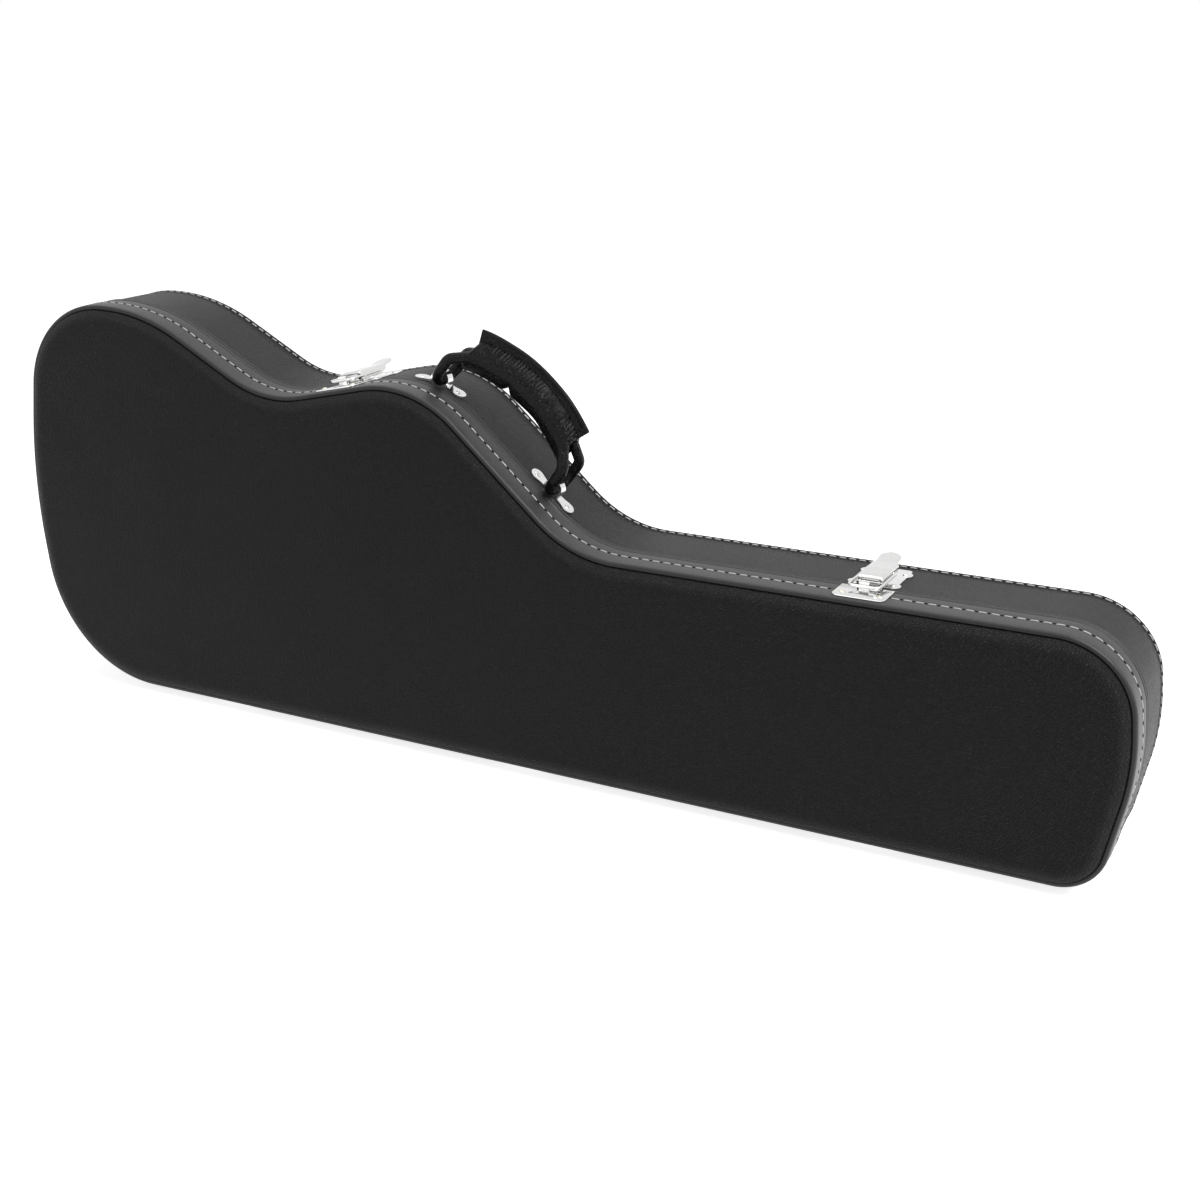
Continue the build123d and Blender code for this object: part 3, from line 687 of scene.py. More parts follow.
def grain_group():
    """Pebbled leather grain: how high each point stands, and how deep it lies in a crease."""
    group = new_group(
        "Pebble grain",
        [("Vector", VECTOR, None), ("Size", FLOAT, 0.002), ("Stretch", FLOAT, 1.0)],
        [("Height", FLOAT), ("Crease", FLOAT)],
    )
    tree = Nodes(group)
    source = tree.add("NodeGroupInput")
    sink = tree.add("NodeGroupOutput")
    per_metre = tree.math("DIVIDE", 1.0, source.outputs["Size"])
    wander = tree.add("ShaderNodeTexNoise", {"Vector": source.outputs["Vector"], "Detail": 2.0})
    tree.feed(wander.inputs["Scale"], tree.math("MULTIPLY", per_metre, 0.55))
    shift = tree.add("ShaderNodeVectorMath", {0: wander.outputs["Color"], 1: (0.5, 0.5, 0.5)},
                     operation="SUBTRACT")
    pull = tree.add("ShaderNodeVectorMath", {0: shift.outputs[0]}, operation="SCALE")
    tree.feed(pull.inputs["Scale"], tree.math("MULTIPLY", source.outputs["Size"], 0.9))
    moved = tree.add("ShaderNodeVectorMath", {0: source.outputs["Vector"], 1: pull.outputs[0]},
                     operation="ADD")
    squeeze = tree.add("ShaderNodeCombineXYZ", {"X": 1.0, "Y": 1.0, "Z": source.outputs["Stretch"]})
    flat = tree.add("ShaderNodeVectorMath", {0: moved.outputs[0], 1: squeeze.outputs[0]},
                    operation="MULTIPLY")
    cells = tree.add("ShaderNodeTexVoronoi", {"Vector": flat.outputs[0]}, feature="DISTANCE_TO_EDGE")
    tree.feed(cells.inputs["Scale"], per_metre)
    pebble = tree.spread(cells.outputs["Distance"], 0.0, 0.28)
    fine = tree.add("ShaderNodeTexNoise", {"Vector": source.outputs["Vector"], "Detail": 3.0})
    tree.feed(fine.inputs["Scale"], tree.math("MULTIPLY", per_metre, 3.0))
    height = tree.math("MULTIPLY_ADD", fine.outputs["Fac"], 0.35, pebble)
    tree.feed(sink.inputs["Height"], height)
    tree.feed(sink.inputs["Crease"], tree.math("SUBTRACT", 1.0, pebble))
    return group


def wear_group():
    """Slow clouds and fine dust that break up a plain colour and its gloss."""
    group = new_group(
        "Handling wear",
        [("Vector", VECTOR, None), ("Colour", COLOUR, None), ("Amount", FLOAT, 0.1),
         ("Roughness", FLOAT, 0.5)],
        [("Colour", COLOUR), ("Roughness", FLOAT)],
    )
    tree = Nodes(group)
    source = tree.add("NodeGroupInput")
    sink = tree.add("NodeGroupOutput")
    clouds = tree.add("ShaderNodeTexNoise",
                      {"Vector": source.outputs["Vector"], "Scale": 14.0, "Detail": 4.0})
    dust = tree.add("ShaderNodeTexNoise",
                    {"Vector": source.outputs["Vector"], "Scale": 420.0, "Detail": 2.0})
    slow = tree.spread(clouds.outputs["Fac"], 0.3, 0.7, -1.0, 1.0)
    quick = tree.spread(dust.outputs["Fac"], 0.3, 0.7, -1.0, 1.0)
    mixed = tree.math("MULTIPLY_ADD", quick, 0.6, slow)
    share = tree.math("MULTIPLY", mixed, source.outputs["Amount"])
    tree.feed(sink.inputs["Colour"],
              tree.tint(source.outputs["Colour"], tree.math("ADD", share, 1.0)))
    rough = tree.math("MULTIPLY_ADD", share, 0.35, source.outputs["Roughness"])
    tree.feed(sink.inputs["Roughness"], rough)
    return group


def stitch_row_group():
    """Needle holes of a row of stitches, by distance along it and depth."""
    group = new_group(
        "Stitch row",
        [("Along", FLOAT, 0.0), ("Depth", FLOAT, 0.0), ("Row", FLOAT, 0.0), ("Pitch", FLOAT, 0.0097),
         ("Hole", FLOAT, 0.0013)],
        [("Hole", FLOAT)],
    )
    tree = Nodes(group)
    source = tree.add("NodeGroupInput")
    sink = tree.add("NodeGroupOutput")
    aside = tree.math("ABSOLUTE", tree.math("SUBTRACT", source.outputs["Depth"], source.outputs["Row"]))
    half = tree.math("MULTIPLY", source.outputs["Pitch"], 0.5)
    gap = tree.math("PINGPONG", source.outputs["Along"], half)
    long_way = tree.math("DIVIDE", gap, source.outputs["Hole"])
    short_way = tree.math("DIVIDE", aside, HOLE_DEEP * MM)
    far = tree.math("MAXIMUM", long_way, short_way)
    tree.feed(sink.inputs["Hole"], tree.spread(far, 1.25, 0.85))
    return group


def new_material(name, roughness, specular=0.5, metallic=0.0, coat=0.0, coat_roughness=0.1, sheen=0.0):
    """A material with its plain constants set, and its nodes to build on."""
    material = bpy.data.materials.new(name)
    material.use_nodes = True
    tree = Nodes(material.node_tree)
    shader = material.node_tree.nodes["Principled BSDF"]
    shader.inputs["Roughness"].default_value = roughness
    shader.inputs["Specular IOR Level"].default_value = specular
    shader.inputs["Metallic"].default_value = metallic
    shader.inputs["Coat Weight"].default_value = coat
    shader.inputs["Coat Roughness"].default_value = coat_roughness
    shader.inputs["Sheen Weight"].default_value = sheen
    place = tree.add("ShaderNodeTexCoord").outputs["Object"]
    return material, tree, shader, place


def use_group(tree, group, **inputs):
    """A group node with its inputs fed."""
    node = tree.add("ShaderNodeGroup", node_tree=group)
    for label, value in inputs.items():
        tree.feed(node.inputs[label], value)
    return node


def bump(tree, shader, height, distance, strength):
    """Feeds a height to the shader's normal."""
    node = tree.add("ShaderNodeBump", {"Strength": strength, "Distance": distance, "Height": height})
    tree.feed(shader.inputs["Normal"], node.outputs["Normal"])


def opaque(colour):
    """A colour with full alpha."""
    return (*colour, 1.0)


def vinyl(name, colour, grain, depth, roughness, specular, stretch=1.0, row=None, shaded_strip=None,
          groove_shade=None, edge=None):
    """Embossed vinyl; row is the depth, pitch and hole of a stitch row.

    The three ranges of depths, each with a share, paint light and shade: the first darkens
    a strip of the wall as painted shade, the second darkens the colour next to the gap between
    band and pad as painted shade, and edge, the third, makes the rounded edge of the pad paler as a
    painted highlight.
    """
    material, tree, shader, place = new_material(name, roughness, specular)
    pebbles = use_group(tree, GROUPS["grain"], Vector=place, Size=grain, Stretch=stretch)
    wear = use_group(tree, GROUPS["wear"], Vector=place, Colour=opaque(colour), Amount=0.10,
                     Roughness=roughness)
    # Painted light and shade: the colour is made lighter on the pebbles and darker in the creases between
    # them.
    shade = tree.spread(pebbles.outputs["Crease"], 0.0, 1.0, 1.22, 0.42)
    painted = tree.tint(wear.outputs["Colour"], shade)
    height = pebbles.outputs["Height"]
    where = tree.add("ShaderNodeSeparateXYZ", {0: place})
    # Painted shade: a strip of the wall in front of the back stitching is darkened.
    if shaded_strip:
        low, high, share = shaded_strip
        inside = tree.math("MULTIPLY", tree.spread(where.outputs["Y"], low - 0.001, low + 0.001),
                           tree.spread(where.outputs["Y"], high + 0.001, high - 0.001))
        painted = tree.tint(painted, tree.spread(inside, 0.0, 1.0, 1.0, share))
    # Painted highlight: the rounded edge of the pad, behind its flat front, is made paler as the light on
    # it.
    if edge:
        low, high, share = edge
        painted = tree.tint(painted, tree.spread(where.outputs["Y"], low, high, 1.0, share))
    # Painted shade: the colour is darker towards the gap between band and pad, where shade falls.
    if groove_shade:
        low, high, share = groove_shade
        painted = tree.tint(painted, tree.spread(where.outputs["Y"], low, high, share, 1.0))
    if row:
        along = tree.add("ShaderNodeUVMap", uv_map="UVMap").outputs["UV"]
        travelled = tree.add("ShaderNodeSeparateXYZ", {0: along}).outputs["X"]
        stitches = use_group(tree, GROUPS["stitch_row"], Along=travelled, Depth=where.outputs["Y"],
                             Row=row[0], Pitch=row[1], Hole=row[2])
        # Painted shade: the needle holes are darkened nearly to black, as the shade inside them.
        painted = tree.tint(painted, tree.spread(stitches.outputs["Hole"], 0.0, 1.0, 1.0, 0.08))
        height = tree.math("MULTIPLY_ADD", stitches.outputs["Hole"], -3.0, height)
    tree.feed(shader.inputs["Base Color"], painted)
    tree.feed(shader.inputs["Roughness"], wear.outputs["Roughness"])
    bump(tree, shader, height, depth, 0.8)
    return material


def leather(name, colour, grain, depth, roughness):
    """Glossy handle leather with fine wrinkles across the grip."""
    material, tree, shader, place = new_material(name, roughness, 0.10, coat=0.10, coat_roughness=0.10)
    turned = tree.add("ShaderNodeMapping", {"Vector": place})
    turned.inputs["Rotation"].default_value = (0, -math.atan2(-HANDLE_WAY.z, HANDLE_WAY.x), 0)
    pebbles = use_group(tree, GROUPS["grain"], Vector=turned.outputs[0], Size=grain, Stretch=0.45)
    wear = use_group(tree, GROUPS["wear"], Vector=place, Colour=opaque(colour), Amount=0.18,
                     Roughness=roughness)
    # Painted light and shade: the colour is made lighter on the pebbles and darker in the creases between
    # them.
    shade = tree.spread(pebbles.outputs["Crease"], 0.0, 1.0, 1.1, 0.5)
    tree.feed(shader.inputs["Base Color"], tree.tint(wear.outputs["Colour"], shade))
    tree.feed(shader.inputs["Roughness"], wear.outputs["Roughness"])
    bump(tree, shader, pebbles.outputs["Height"], depth, 0.9)
    return material


def metal(name, colour, roughness, brushed=0.0):
    """Plated metal with faint scratches and finger marks."""
    material, tree, shader, place = new_material(name, roughness, metallic=1.0)
    wear = use_group(tree, GROUPS["wear"], Vector=place, Colour=opaque(colour), Amount=0.05,
                     Roughness=roughness)
    stretch = tree.add("ShaderNodeMapping", {"Vector": place, "Scale": (900.0, 120.0, 900.0)})
    lines = tree.add("ShaderNodeTexNoise", {"Vector": stretch.outputs[0], "Scale": 1.0, "Detail": 3.0})
    tree.feed(shader.inputs["Base Color"], wear.outputs["Colour"])
    rough = tree.math("MULTIPLY_ADD", lines.outputs["Fac"], 0.06 + brushed, wear.outputs["Roughness"])
    tree.feed(shader.inputs["Roughness"], rough)
    bump(tree, shader, lines.outputs["Fac"], 0.00002 + 0.00005 * brushed, 0.3)
    return material


def thread(name, colour):
    """Twisted thread: plies that turn round it, painted lighter on their crowns and darker between them
    as painted shade.
    """
    material, tree, shader, place = new_material(name, 0.7, 0.2, sheen=0.2)
    sheet_uv = tree.add("ShaderNodeUVMap", uv_map="UVMap").outputs["UV"]
    turned = tree.add("ShaderNodeMapping", {"Vector": sheet_uv, "Rotation": (0, 0, 0.7)})
    plies = tree.add("ShaderNodeTexWave", {"Vector": turned.outputs[0], "Scale": 420.0,
                                           "Distortion": 1.0})
    spots = tree.add("ShaderNodeTexNoise", {"Vector": place, "Scale": 300.0})
    # Painted shade: the colour is darker in the hollows between the plies.
    share = tree.math("MULTIPLY_ADD", spots.outputs["Fac"], 0.3,
                      tree.spread(plies.outputs["Fac"], 0.0, 1.0, 0.65, 0.95))
    tree.feed(shader.inputs["Base Color"], tree.tint(opaque(colour), share))
    bump(tree, shader, plies.outputs["Fac"], 0.0002, 0.7)
    return material


def plush(name, colour):
    """Short pile: soft clumps, a fine nap and a sheen at the edges."""
    material, tree, shader, place = new_material(name, 0.95, 0.1, sheen=0.5)
    clumps = tree.add("ShaderNodeTexNoise", {"Vector": place, "Scale": 60.0, "Detail": 5.0,
                                             "Roughness": 0.65})
    nap = tree.add("ShaderNodeTexNoise", {"Vector": place, "Scale": 1500.0, "Detail": 2.0})
    share = tree.math("ADD", tree.spread(clumps.outputs["Fac"], 0.3, 0.7, 0.6, 1.2),
                      tree.spread(nap.outputs["Fac"], 0.3, 0.7, -0.25, 0.25))
    tree.feed(shader.inputs["Base Color"], tree.tint(opaque(colour), share))
    bump(tree, shader, tree.math("MULTIPLY_ADD", nap.outputs["Fac"], 0.6, clumps.outputs["Fac"]),
         0.0015, 0.8)
    return material


def plywood(name):
    """Raw ply: long grain lines and the layers of its edges."""
    material, tree, shader, place = new_material(name, 0.7, 0.3)
    long_way = tree.add("ShaderNodeMapping", {"Vector": place, "Scale": (6.0, 260.0, 90.0)})
    lines = tree.add("ShaderNodeTexNoise", {"Vector": long_way.outputs[0], "Scale": 1.0, "Detail": 6.0})
    colour = tree.blend(lines.outputs["Fac"], (0.42, 0.28, 0.15, 1), (0.66, 0.50, 0.31, 1))
    tree.feed(shader.inputs["Base Color"], colour)
    bump(tree, shader, lines.outputs["Fac"], 0.0003, 0.4)
    return material


def rubber(name, colour, specular):
    """A dull dark surface with a fine texture, such as moulded rubber; it also makes the near-black
    pieces of painted shade.
    """
    material, tree, shader, place = new_material(name, 0.75, specular)
    pits = tree.add("ShaderNodeTexNoise", {"Vector": place, "Scale": 1200.0, "Detail": 3.0})
    share = tree.spread(pits.outputs["Fac"], 0.3, 0.7, 0.75, 1.25)
    tree.feed(shader.inputs["Base Color"], tree.tint(colour, share))
    bump(tree, shader, pits.outputs["Fac"], 0.0003, 0.5)
    return material


GROUPS = {}
FINISH = {}


def mix_finishes():
    """Builds the shared node groups and every material of the case."""
    cover, metals = look("case_cover"), look("case_metal")
    GROUPS["grain"] = grain_group()
    GROUPS["wear"] = wear_group()
    GROUPS["stitch_row"] = stitch_row_group()
    pitch = PERIMETER * MM / cover.front_stitches
    hole = pitch * (1 - cover.stitch_share) / 2 * 0.9
    # Painted shade darkens a strip of the wall in front of the back stitching.
    FINISH["wall"] = vinyl("Grained wall vinyl", cover.wall_colour, cover.wall_grain, 0.0016, 0.46, 0.30,
                           shaded_strip=(0.0395, 0.0470, 0.66))
    # Painted shade darkens the band next to the gap between band and pad.
    FINISH["band"] = vinyl("Smooth band vinyl", cover.band_colour, cover.wall_grain * 0.6, 0.00006,
                           0.42, 0.34, row=(FRONT_ROW_Y * MM, pitch, hole),
                           groove_shade=(-0.0501, -0.0490, 0.12))
    FINISH["piping"] = vinyl("Piping vinyl", cover.band_colour, cover.wall_grain * 0.6, 0.00006,
                             0.40, 0.34)
    # A painted highlight makes the rounded edge of the pad paler.
    # Painted shade darkens the pad next to the gap between band and pad.
    FINISH["panel"] = vinyl("Padded panel vinyl", cover.panel_colour, cover.panel_grain, 0.0012,
                            0.45, 0.13, stretch=1.5, groove_shade=(-0.0500, -0.0512, 0.1),
                            edge=(-0.0547, -0.0538, 4.5))
    FINISH["thread"] = thread("Pale thread", cover.thread_colour)
    FINISH["chrome"] = metal("Bright chrome", metals.chrome_colour, 0.07)
    FINISH["brass"] = metal("Brass rivet", metals.rivet_colour, 0.25)
    FINISH["steel"] = metal("Nickel plated steel", metals.steel_colour, 0.22, brushed=0.12)
    FINISH["leather"] = leather("Wrinkled handle leather", look("case_handle").leather_colour,
                                0.0026, 0.0006, 0.30)
    FINISH["plush"] = plush("Plush lining", look("case_padding").plush_colour)
    FINISH["plywood"] = plywood("Raw plywood")
    FINISH["rubber"] = rubber("Foot rubber", (0.022, 0.022, 0.022), 0.25)
    # Painted shade: a near-black dull material for the dark pieces sunk between the stitches and along
    # the creases of the lever.
    FINISH["dip"] = rubber("Shaded thread dip", (0.003, 0.003, 0.003), 0.02)


# Pieces.
def stitch_row(name, count, depth, lift, covered, share, start=0.5, girth=1.0):
    """A row of stitches round the outline: one is modelled, and copied along the row.

    share is its part of the pitch and start its place in it. The thread's dips are such a row too.
    """
    pitch = PERIMETER / count
    radius = look("case_cover").thread_radius / MM * girth
    half = pitch * share / 2
    shape = ((-half, 0.35, -0.9), (-half * 0.9, 0.8, -0.25), (-half * 0.55, 1.0, 0.0),
             (half * 0.55, 1.0, 0.0), (half * 0.9, 0.8, -0.25), (half, 0.35, -0.9))
    rings = []
    for along, share, sink in shape:
        centre = Vector((along, 0, sink * radius)) * MM
        rings.append(circle(centre, Vector((0, 1, 0)), Vector((0, 0, 1)), radius * share * MM, 6))
    first = loft(name, rings)
    parts = []
    draw = random.Random(count)
    for index in range(count):
        place, out = spot_along((index + start) * pitch)
        skew = Matrix.Rotation(math.radians(draw.uniform(-2.5, 2.5)), 4, "Z")
        drift = draw.uniform(-0.12, 0.12)
        if covered(place):
            continue
        way = Vector((out.y, 0, -out.x))
        up = Vector((out.x, 0, out.y))
        turn = Matrix((way, way.cross(up) * -1, up)).transposed().to_4x4()
        spot = Vector((place.x, depth + drift, place.y + FOOT_HEIGHT)) + up * lift
        part = first.copy()
        part.data = first.data.copy()
        bpy.context.scene.collection.objects.link(part)
        part.data.transform(Matrix.Translation(spot * MM) @ turn @ skew)
        parts.append(part)
    bpy.data.objects.remove(first)
    row = joined(name, parts)
    tidy(row, 60)
    return row


def sewn_row(edge, body, count, depth, lift, covered, dip_lift, dip_end, dip_girth):
    """Stitches along one edge and the shaded dips between them, which reach to dip_end of the pitch."""
    share = look("case_cover").stitch_share
    row = stitch_row(f"{edge}_stitching", count, depth, lift, covered, share)
    dress(row, body, FINISH["thread"])
    # Painted shade: dark pieces sunk between the stitches stand in for the shade where the thread goes
    # into its holes.
    dips = stitch_row(f"{edge}_thread_dip_shade", count, depth, dip_lift, covered, dip_end - share, 0.0,
                      dip_girth)
    dress(dips, body, FINISH["dip"])


def near_latch(place):
    """Whether a spot on the outline lies under a latch's catch plate."""
    for wall in LATCHES.values():
        offset = Vector((place.x, 0, place.y + FOOT_HEIGHT)) - wall.origin
        if abs(offset.dot(wall.way)) < LATCH_HALF + 1.5 and abs(offset.dot(wall.out)) < 15:
            return True
    return False


def near_foot(place):
    """Whether a spot on the outline lies under a lid foot."""
    return place.y < 1 and any(abs(place.x - foot_x) < FOOT_HALF for foot_x in FOOT_XS)


def near_fitting(place):
    """Whether the front row is covered at a spot."""
    return near_latch(place) or near_foot(place)


def arc_profile(centre, across, deep, start, end, count):
    """Points on an ellipse of a profile, between two angles from the outward side to the front."""
    spots = []
    for index in range(count + 1):
        lean = math.radians(start + (end - start) * index / count)
        spots.append((centre[0] - across * math.cos(lean), centre[1] - deep * math.sin(lean)))
    return spots


class CASE_OT_body_cover(Operator):
    """Covers the body: vinyl wall, rim piping, back panel with its piping, and the back stitching"""

    bl_idname = "case.body_cover"
    bl_label = "Cover the body"

    def execute(self, context):
        runs = [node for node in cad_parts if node.startswith("body_wall_")]
        profile = [(WALL_T, PART_Y), (0.9, PART_Y), (0.25, PART_Y + 0.2), (0, PART_Y + 0.8), (0, -4),
                   (0, 12), (0, 28), (0, 38), (0.15, 41), (0.5, 44), (0.5, 46), (0.3, BACK_ROW_Y),
                   (0.3, BACK_ROW_Y + 0.8), (-0.25, 49.6), (-0.4, 50.6), (-0.3, 51.6), (0.1, 52.5),
                   (0.9, 53.1), (2.2, WALL_BACK_Y)]
        profile += [(4.5, WALL_BACK_Y), (8.0, WALL_BACK_Y - 0.05), (8.0, 51.5), (WALL_T, 50.5),
                    (WALL_T, 20)]
        wall = sweep_round("body_side_cover", profile)
        dress(wall, "root", FINISH["wall"], runs)

        profile = [(0.35, PART_Y), *arc_profile((0.0, PART_Y + 1.2), 1.0, -1.2, -90, 90, 8),
                   (0.35, PART_Y + 2.4)]
        piping = sweep_round("rim_piping", profile)
        dress(piping, "root", FINISH["piping"], ["rim_bead"])

        profile = [(5.5, WALL_BACK_Y - 0.05), (3.0, WALL_BACK_Y - 0.05),
                   *arc_profile((4.25, WALL_BACK_Y + 0.15), 1.25, -1.35, 0, 180, 8)]
        edge = sweep_round("back_edge_piping", profile)
        dress(edge, "root", FINISH["piping"], ["back_piping"])

        profile = [(9.0, WALL_BACK_Y), (5.5, WALL_BACK_Y), (5.5, WALL_BACK_Y + 0.5), (5.8, BACK_Y - 0.5),
                   (6.8, BACK_Y - 0.18), (9.5, BACK_Y - 0.04), (14, BACK_Y), (30, BACK_Y)]
        back = sweep_round("back_panel_cover", profile, closed=False)
        dress(back, "root", FINISH["panel"], ["back_cover"])

        count = look("case_cover").back_stitches
        sewn_row("back", "root", count, BACK_ROW_Y, 0.1, lambda place: False, -0.3, 0.84, 0.9)
        return {"FINISHED"}


class CASE_OT_lid_cover(Operator):
    """Covers the lid: smooth band with its rolled edge, the padded front and the front stitching"""

    bl_idname = "case.lid_cover"
    bl_label = "Cover the lid"

    def execute(self, context):
        runs = [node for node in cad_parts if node.startswith("lid_wall_")]
        profile = [(WALL_T, LID_RIM_Y), (0.7, LID_RIM_Y), (-0.3, -14.35), (-0.85, -15.1), (-0.95, -16.0),
                   (-0.85, -16.9), (-0.3, -17.9), (0.15, -18.5), (0.15, -19.2), (-0.45, -19.7),
                   (-0.75, -20.4), (-0.8, -21.4), (-0.8, -29.6), (-0.62, -30.6), (-0.45, -31.2),
                   (-0.4, FRONT_ROW_Y), (-0.45, -32.3), (-0.62, -32.9), (-0.8, -33.9), (-0.8, -42.5),
                   (-0.75, -44.6)]
        profile += arc_profile((2.3, -47.2), 2.9, 3.05, 0, 90, 8)
        profile += [(2.9, -50.15), (3.35, -49.8), (3.6, -48.6), (4.6, -48.4), (WALL_T, -47.5),
                    (WALL_T, -30)]
        band = sweep_round("lid_side_cover", profile)
        dress(band, "lid", FINISH["band"], [*runs, "lid_band"])

        profile = [(12.0, BOARD_Y), (6.5, BOARD_Y), (WALL_T + 0.1, BOARD_Y - 0.1),
                   (PAD_INSET - 0.4, -49.4), (PAD_INSET - 0.3, GROOVE_Y)]
        profile += arc_profile((PAD_INSET + 12.5, GROOVE_Y - 0.5), 12.7, 4.0, 0, 90, 14)
        profile += [(20, FRONT_Y), (32, FRONT_Y)]
        pad = sweep_round("padded_front", profile, closed=False)
        dress(pad, "lid", FINISH["panel"], ["lid_padded_cover"])

        count = look("case_cover").front_stitches
        sewn_row("front", "lid", count, FRONT_ROW_Y, 0.72, near_fitting, 0.42, 0.92, 1.3)
        return {"FINISHED"}


def lever_top(depth):
    """Height of the lever's top sheet along its length, with its two creases and raised tab."""
    marks = ((-17.2, 8.3), (-16.4, 9.2), (-14.5, 9.75), (-9.0, 9.9), (-3.5, 9.85), (-3.3, 8.7),
             (-2.7, 8.7), (-2.5, 9.85), (3.0, 10.1), (8.5, 9.85), (8.7, 8.7), (9.3, 8.7), (9.5, 9.85),
             (15.0, 9.75),
             (20.0, 9.7), (25.0, 10.3), (31.0, 11.5), (36.0, 12.4), (39.0, 12.6))
    return stepwise(marks, depth)


def stepwise(marks, value):
    """Straight-line reading of a list of (value, result) marks."""
    if value <= marks[0][0]:
        return marks[0][1]
    for (low, first), (high, last) in zip(marks, marks[1:]):
        if value <= high:
            return first + (last - first) * (value - low) / (high - low)
    return marks[-1][1]


def lever_cheek(depth):
    """Lowest height of the lever's cheeks along its length."""
    marks = ((-17.2, 8.0), (-16.6, 4.6), (-15.6, 2.8), (-14.0, 1.9), (-9.0, 3.6), (5.0, 3.3),
             (13.0, 3.4), (20.0, 6.2), (23.5, 9.0), (39.0, 12.0))
    return stepwise(marks, depth)


def lever_width(depth):
    """Half width of the lever along its length: it narrows a little and ends in a round tab."""
    if depth < 21:
        return LEVER_HALF
    waist = stepwise(((17.5, LEVER_HALF), (20.5, TAB_HALF)), depth)
    if depth < TAB_ARC_Y:
        return waist
    reach = min(1.0, (depth - TAB_ARC_Y) / (TAIL_Y - TAB_ARC_Y))
    return (waist - 0.35) * math.sqrt(max(0.0, 1 - reach**2)) + 0.35


def lever_piece(name, wall):
    """Folded chrome lever with crease lines across it and a raised round thumb tab."""
    depths = [-17.2, -16.8, -16.2, -15.2, -13.5, -11, -8, -5, -3.5, -3.3, -2.7, -2.5, 0, 3, 6,
              8.5, 8.7, 9.3, 9.5, 12, 15, 17, 18, 19, 20.5, 22, 24, 26, 28, TAB_ARC_Y]
    depths += [TAB_ARC_Y + (TAIL_Y - TAB_ARC_Y) * math.sin(math.radians(lean))
               for lean in range(9, 91, 9)]
    rows = []
    for depth in depths:
        half = lever_width(depth)
        top = lever_top(depth)
        low = min(lever_cheek(depth), top - 0.35)
        row = []
        sides = (1.0, 1.0, 1.0, 0.985, 0.95, 0.86, 0.66, 0.35, 0.0)
        drops = (1.0, 0.5, 0.22, 0.10, 0.035, 0.0, 0.0, 0.0, 0.0)
        arches = (0.0, 0.0, 0.0, 0.0, 0.05, 0.12, 0.22, 0.3, 0.33)
        for side, drop, arch in zip(sides, drops, arches):
            height = top - (top - low) * drop + arch
            row.append((side * half, height))
        full = [(-across, height) for across, height in row] + row[-2::-1]
        rows.append([wall.at(across, depth, height - 0.3) for across, height in full])
    return sheet(name, rows, -SHEET_T * MM)


def crease_shade_line(wall, depth):
    """Shaded line along the bottom of a crease of the lever."""
    path = [wall.at(across, depth, CREASE_H) for across in (-CREASE_HALF, -4, 0, 4, CREASE_HALF)]
    return tube("crease", path, CREASE_R * MM, 8)


def bail_piece(name, wall):
    """Wire loop from the cheeks of the lever round the front of the hook."""
    bar_y = HOOK_Y - 1.6 - 0.25 - WIRE_R
    points = [wall.at(across, depth, BAIL_H) for across, depth in
              ((-7.5, BAIL_PIN_Y), (-12.2, BAIL_PIN_Y), (-12.2, bar_y), (12.2, bar_y),
               (12.2, BAIL_PIN_Y), (7.5, BAIL_PIN_Y))]
    path = rounded_path(points, [r * MM for r in (1.7, 4.5, 4.5, 1.7)], 0.7 * MM)
    return tube(name, path, WIRE_R * MM, 16)


def domed_rivet(seat):
    """A rivet head: a rolled rim and a dome."""
    shape = ((1.0, 0.0), (1.0, 0.25), (0.93, 0.5), (0.75, 0.78), (0.45, 0.96), (0.15, 1.0))
    profile = [(RIVET_R * reach, RIVET_H * share) for reach, share in shape]
    return lathe("rivet", seat, profile, 20)


class CASE_OT_latches(Operator):
    """Makes the two draw latches: plates, pins, levers, wire bails and rivets"""

    bl_idname = "case.latches"
    bl_label = "Make the latches"

    def execute(self, context):
        chrome = FINISH["chrome"]
        base_rivets, catch_rivets = [], []
        for name, wall in LATCHES.items():
            for part, body in (("base", "root"), ("catch", "lid")):
                plate = copy_of_node(f"{name}_latch_{part}", f"{name}_{part}_plate")
                round_edges(plate, PLATE_EDGE * MM, 2)
                dress(plate, body, chrome, [f"{name}_latch_{part}"])
            lever = lever_piece(f"{name}_lever_shell", wall)
            dress(lever, f"{name}_lever", chrome, [f"{name}_latch_lever"])
            # Painted shade: dark tubes along the bottoms of the two creases stand in for the shade in
            # them.
            lines = [crease_shade_line(wall, depth) for depth in CREASE_YS]
            creases = joined(f"{name}_lever_crease_shade", lines)
            dress(creases, f"{name}_lever", FINISH["dip"])
            bail = bail_piece(f"{name}_bail_wire", wall)
            dress(bail, f"{name}_bail", chrome, [f"{name}_latch_bail"])
            for side in (-1, 1):
                for depth in BASE_RIVET_YS:
                    seat = wall.matrix(side * RIVET_HALF, depth, PLATE_TOP)
                    base_rivets.append(domed_rivet(seat))
                seat = wall.matrix(side * RIVET_HALF, CATCH_RIVET_Y, CATCH_TOP)
                catch_rivets.append(domed_rivet(seat))
        dress(joined("base_plate_rivets", base_rivets), "root", chrome, ["latch_base_rivets"])
        dress(joined("catch_plate_rivets", catch_rivets), "lid", FINISH["brass"],
              ["latch_catch_rivets"])
        repaint(["waist_latch_pin", "neck_latch_pin"], chrome)
        return {"FINISHED"}


def rise_at(along, half, end_rise, mid_rise):
    """Height of the arc through both ends and the middle of the handle."""
    drop = mid_rise - end_rise
    radius = (half**2 + drop**2) / (2 * drop)
    return mid_rise - radius + math.sqrt(radius**2 - along**2)


def bell(value, centre, width):
    """A smooth bump of height 1."""
    return math.exp(-(((value - centre) / width) ** 2))


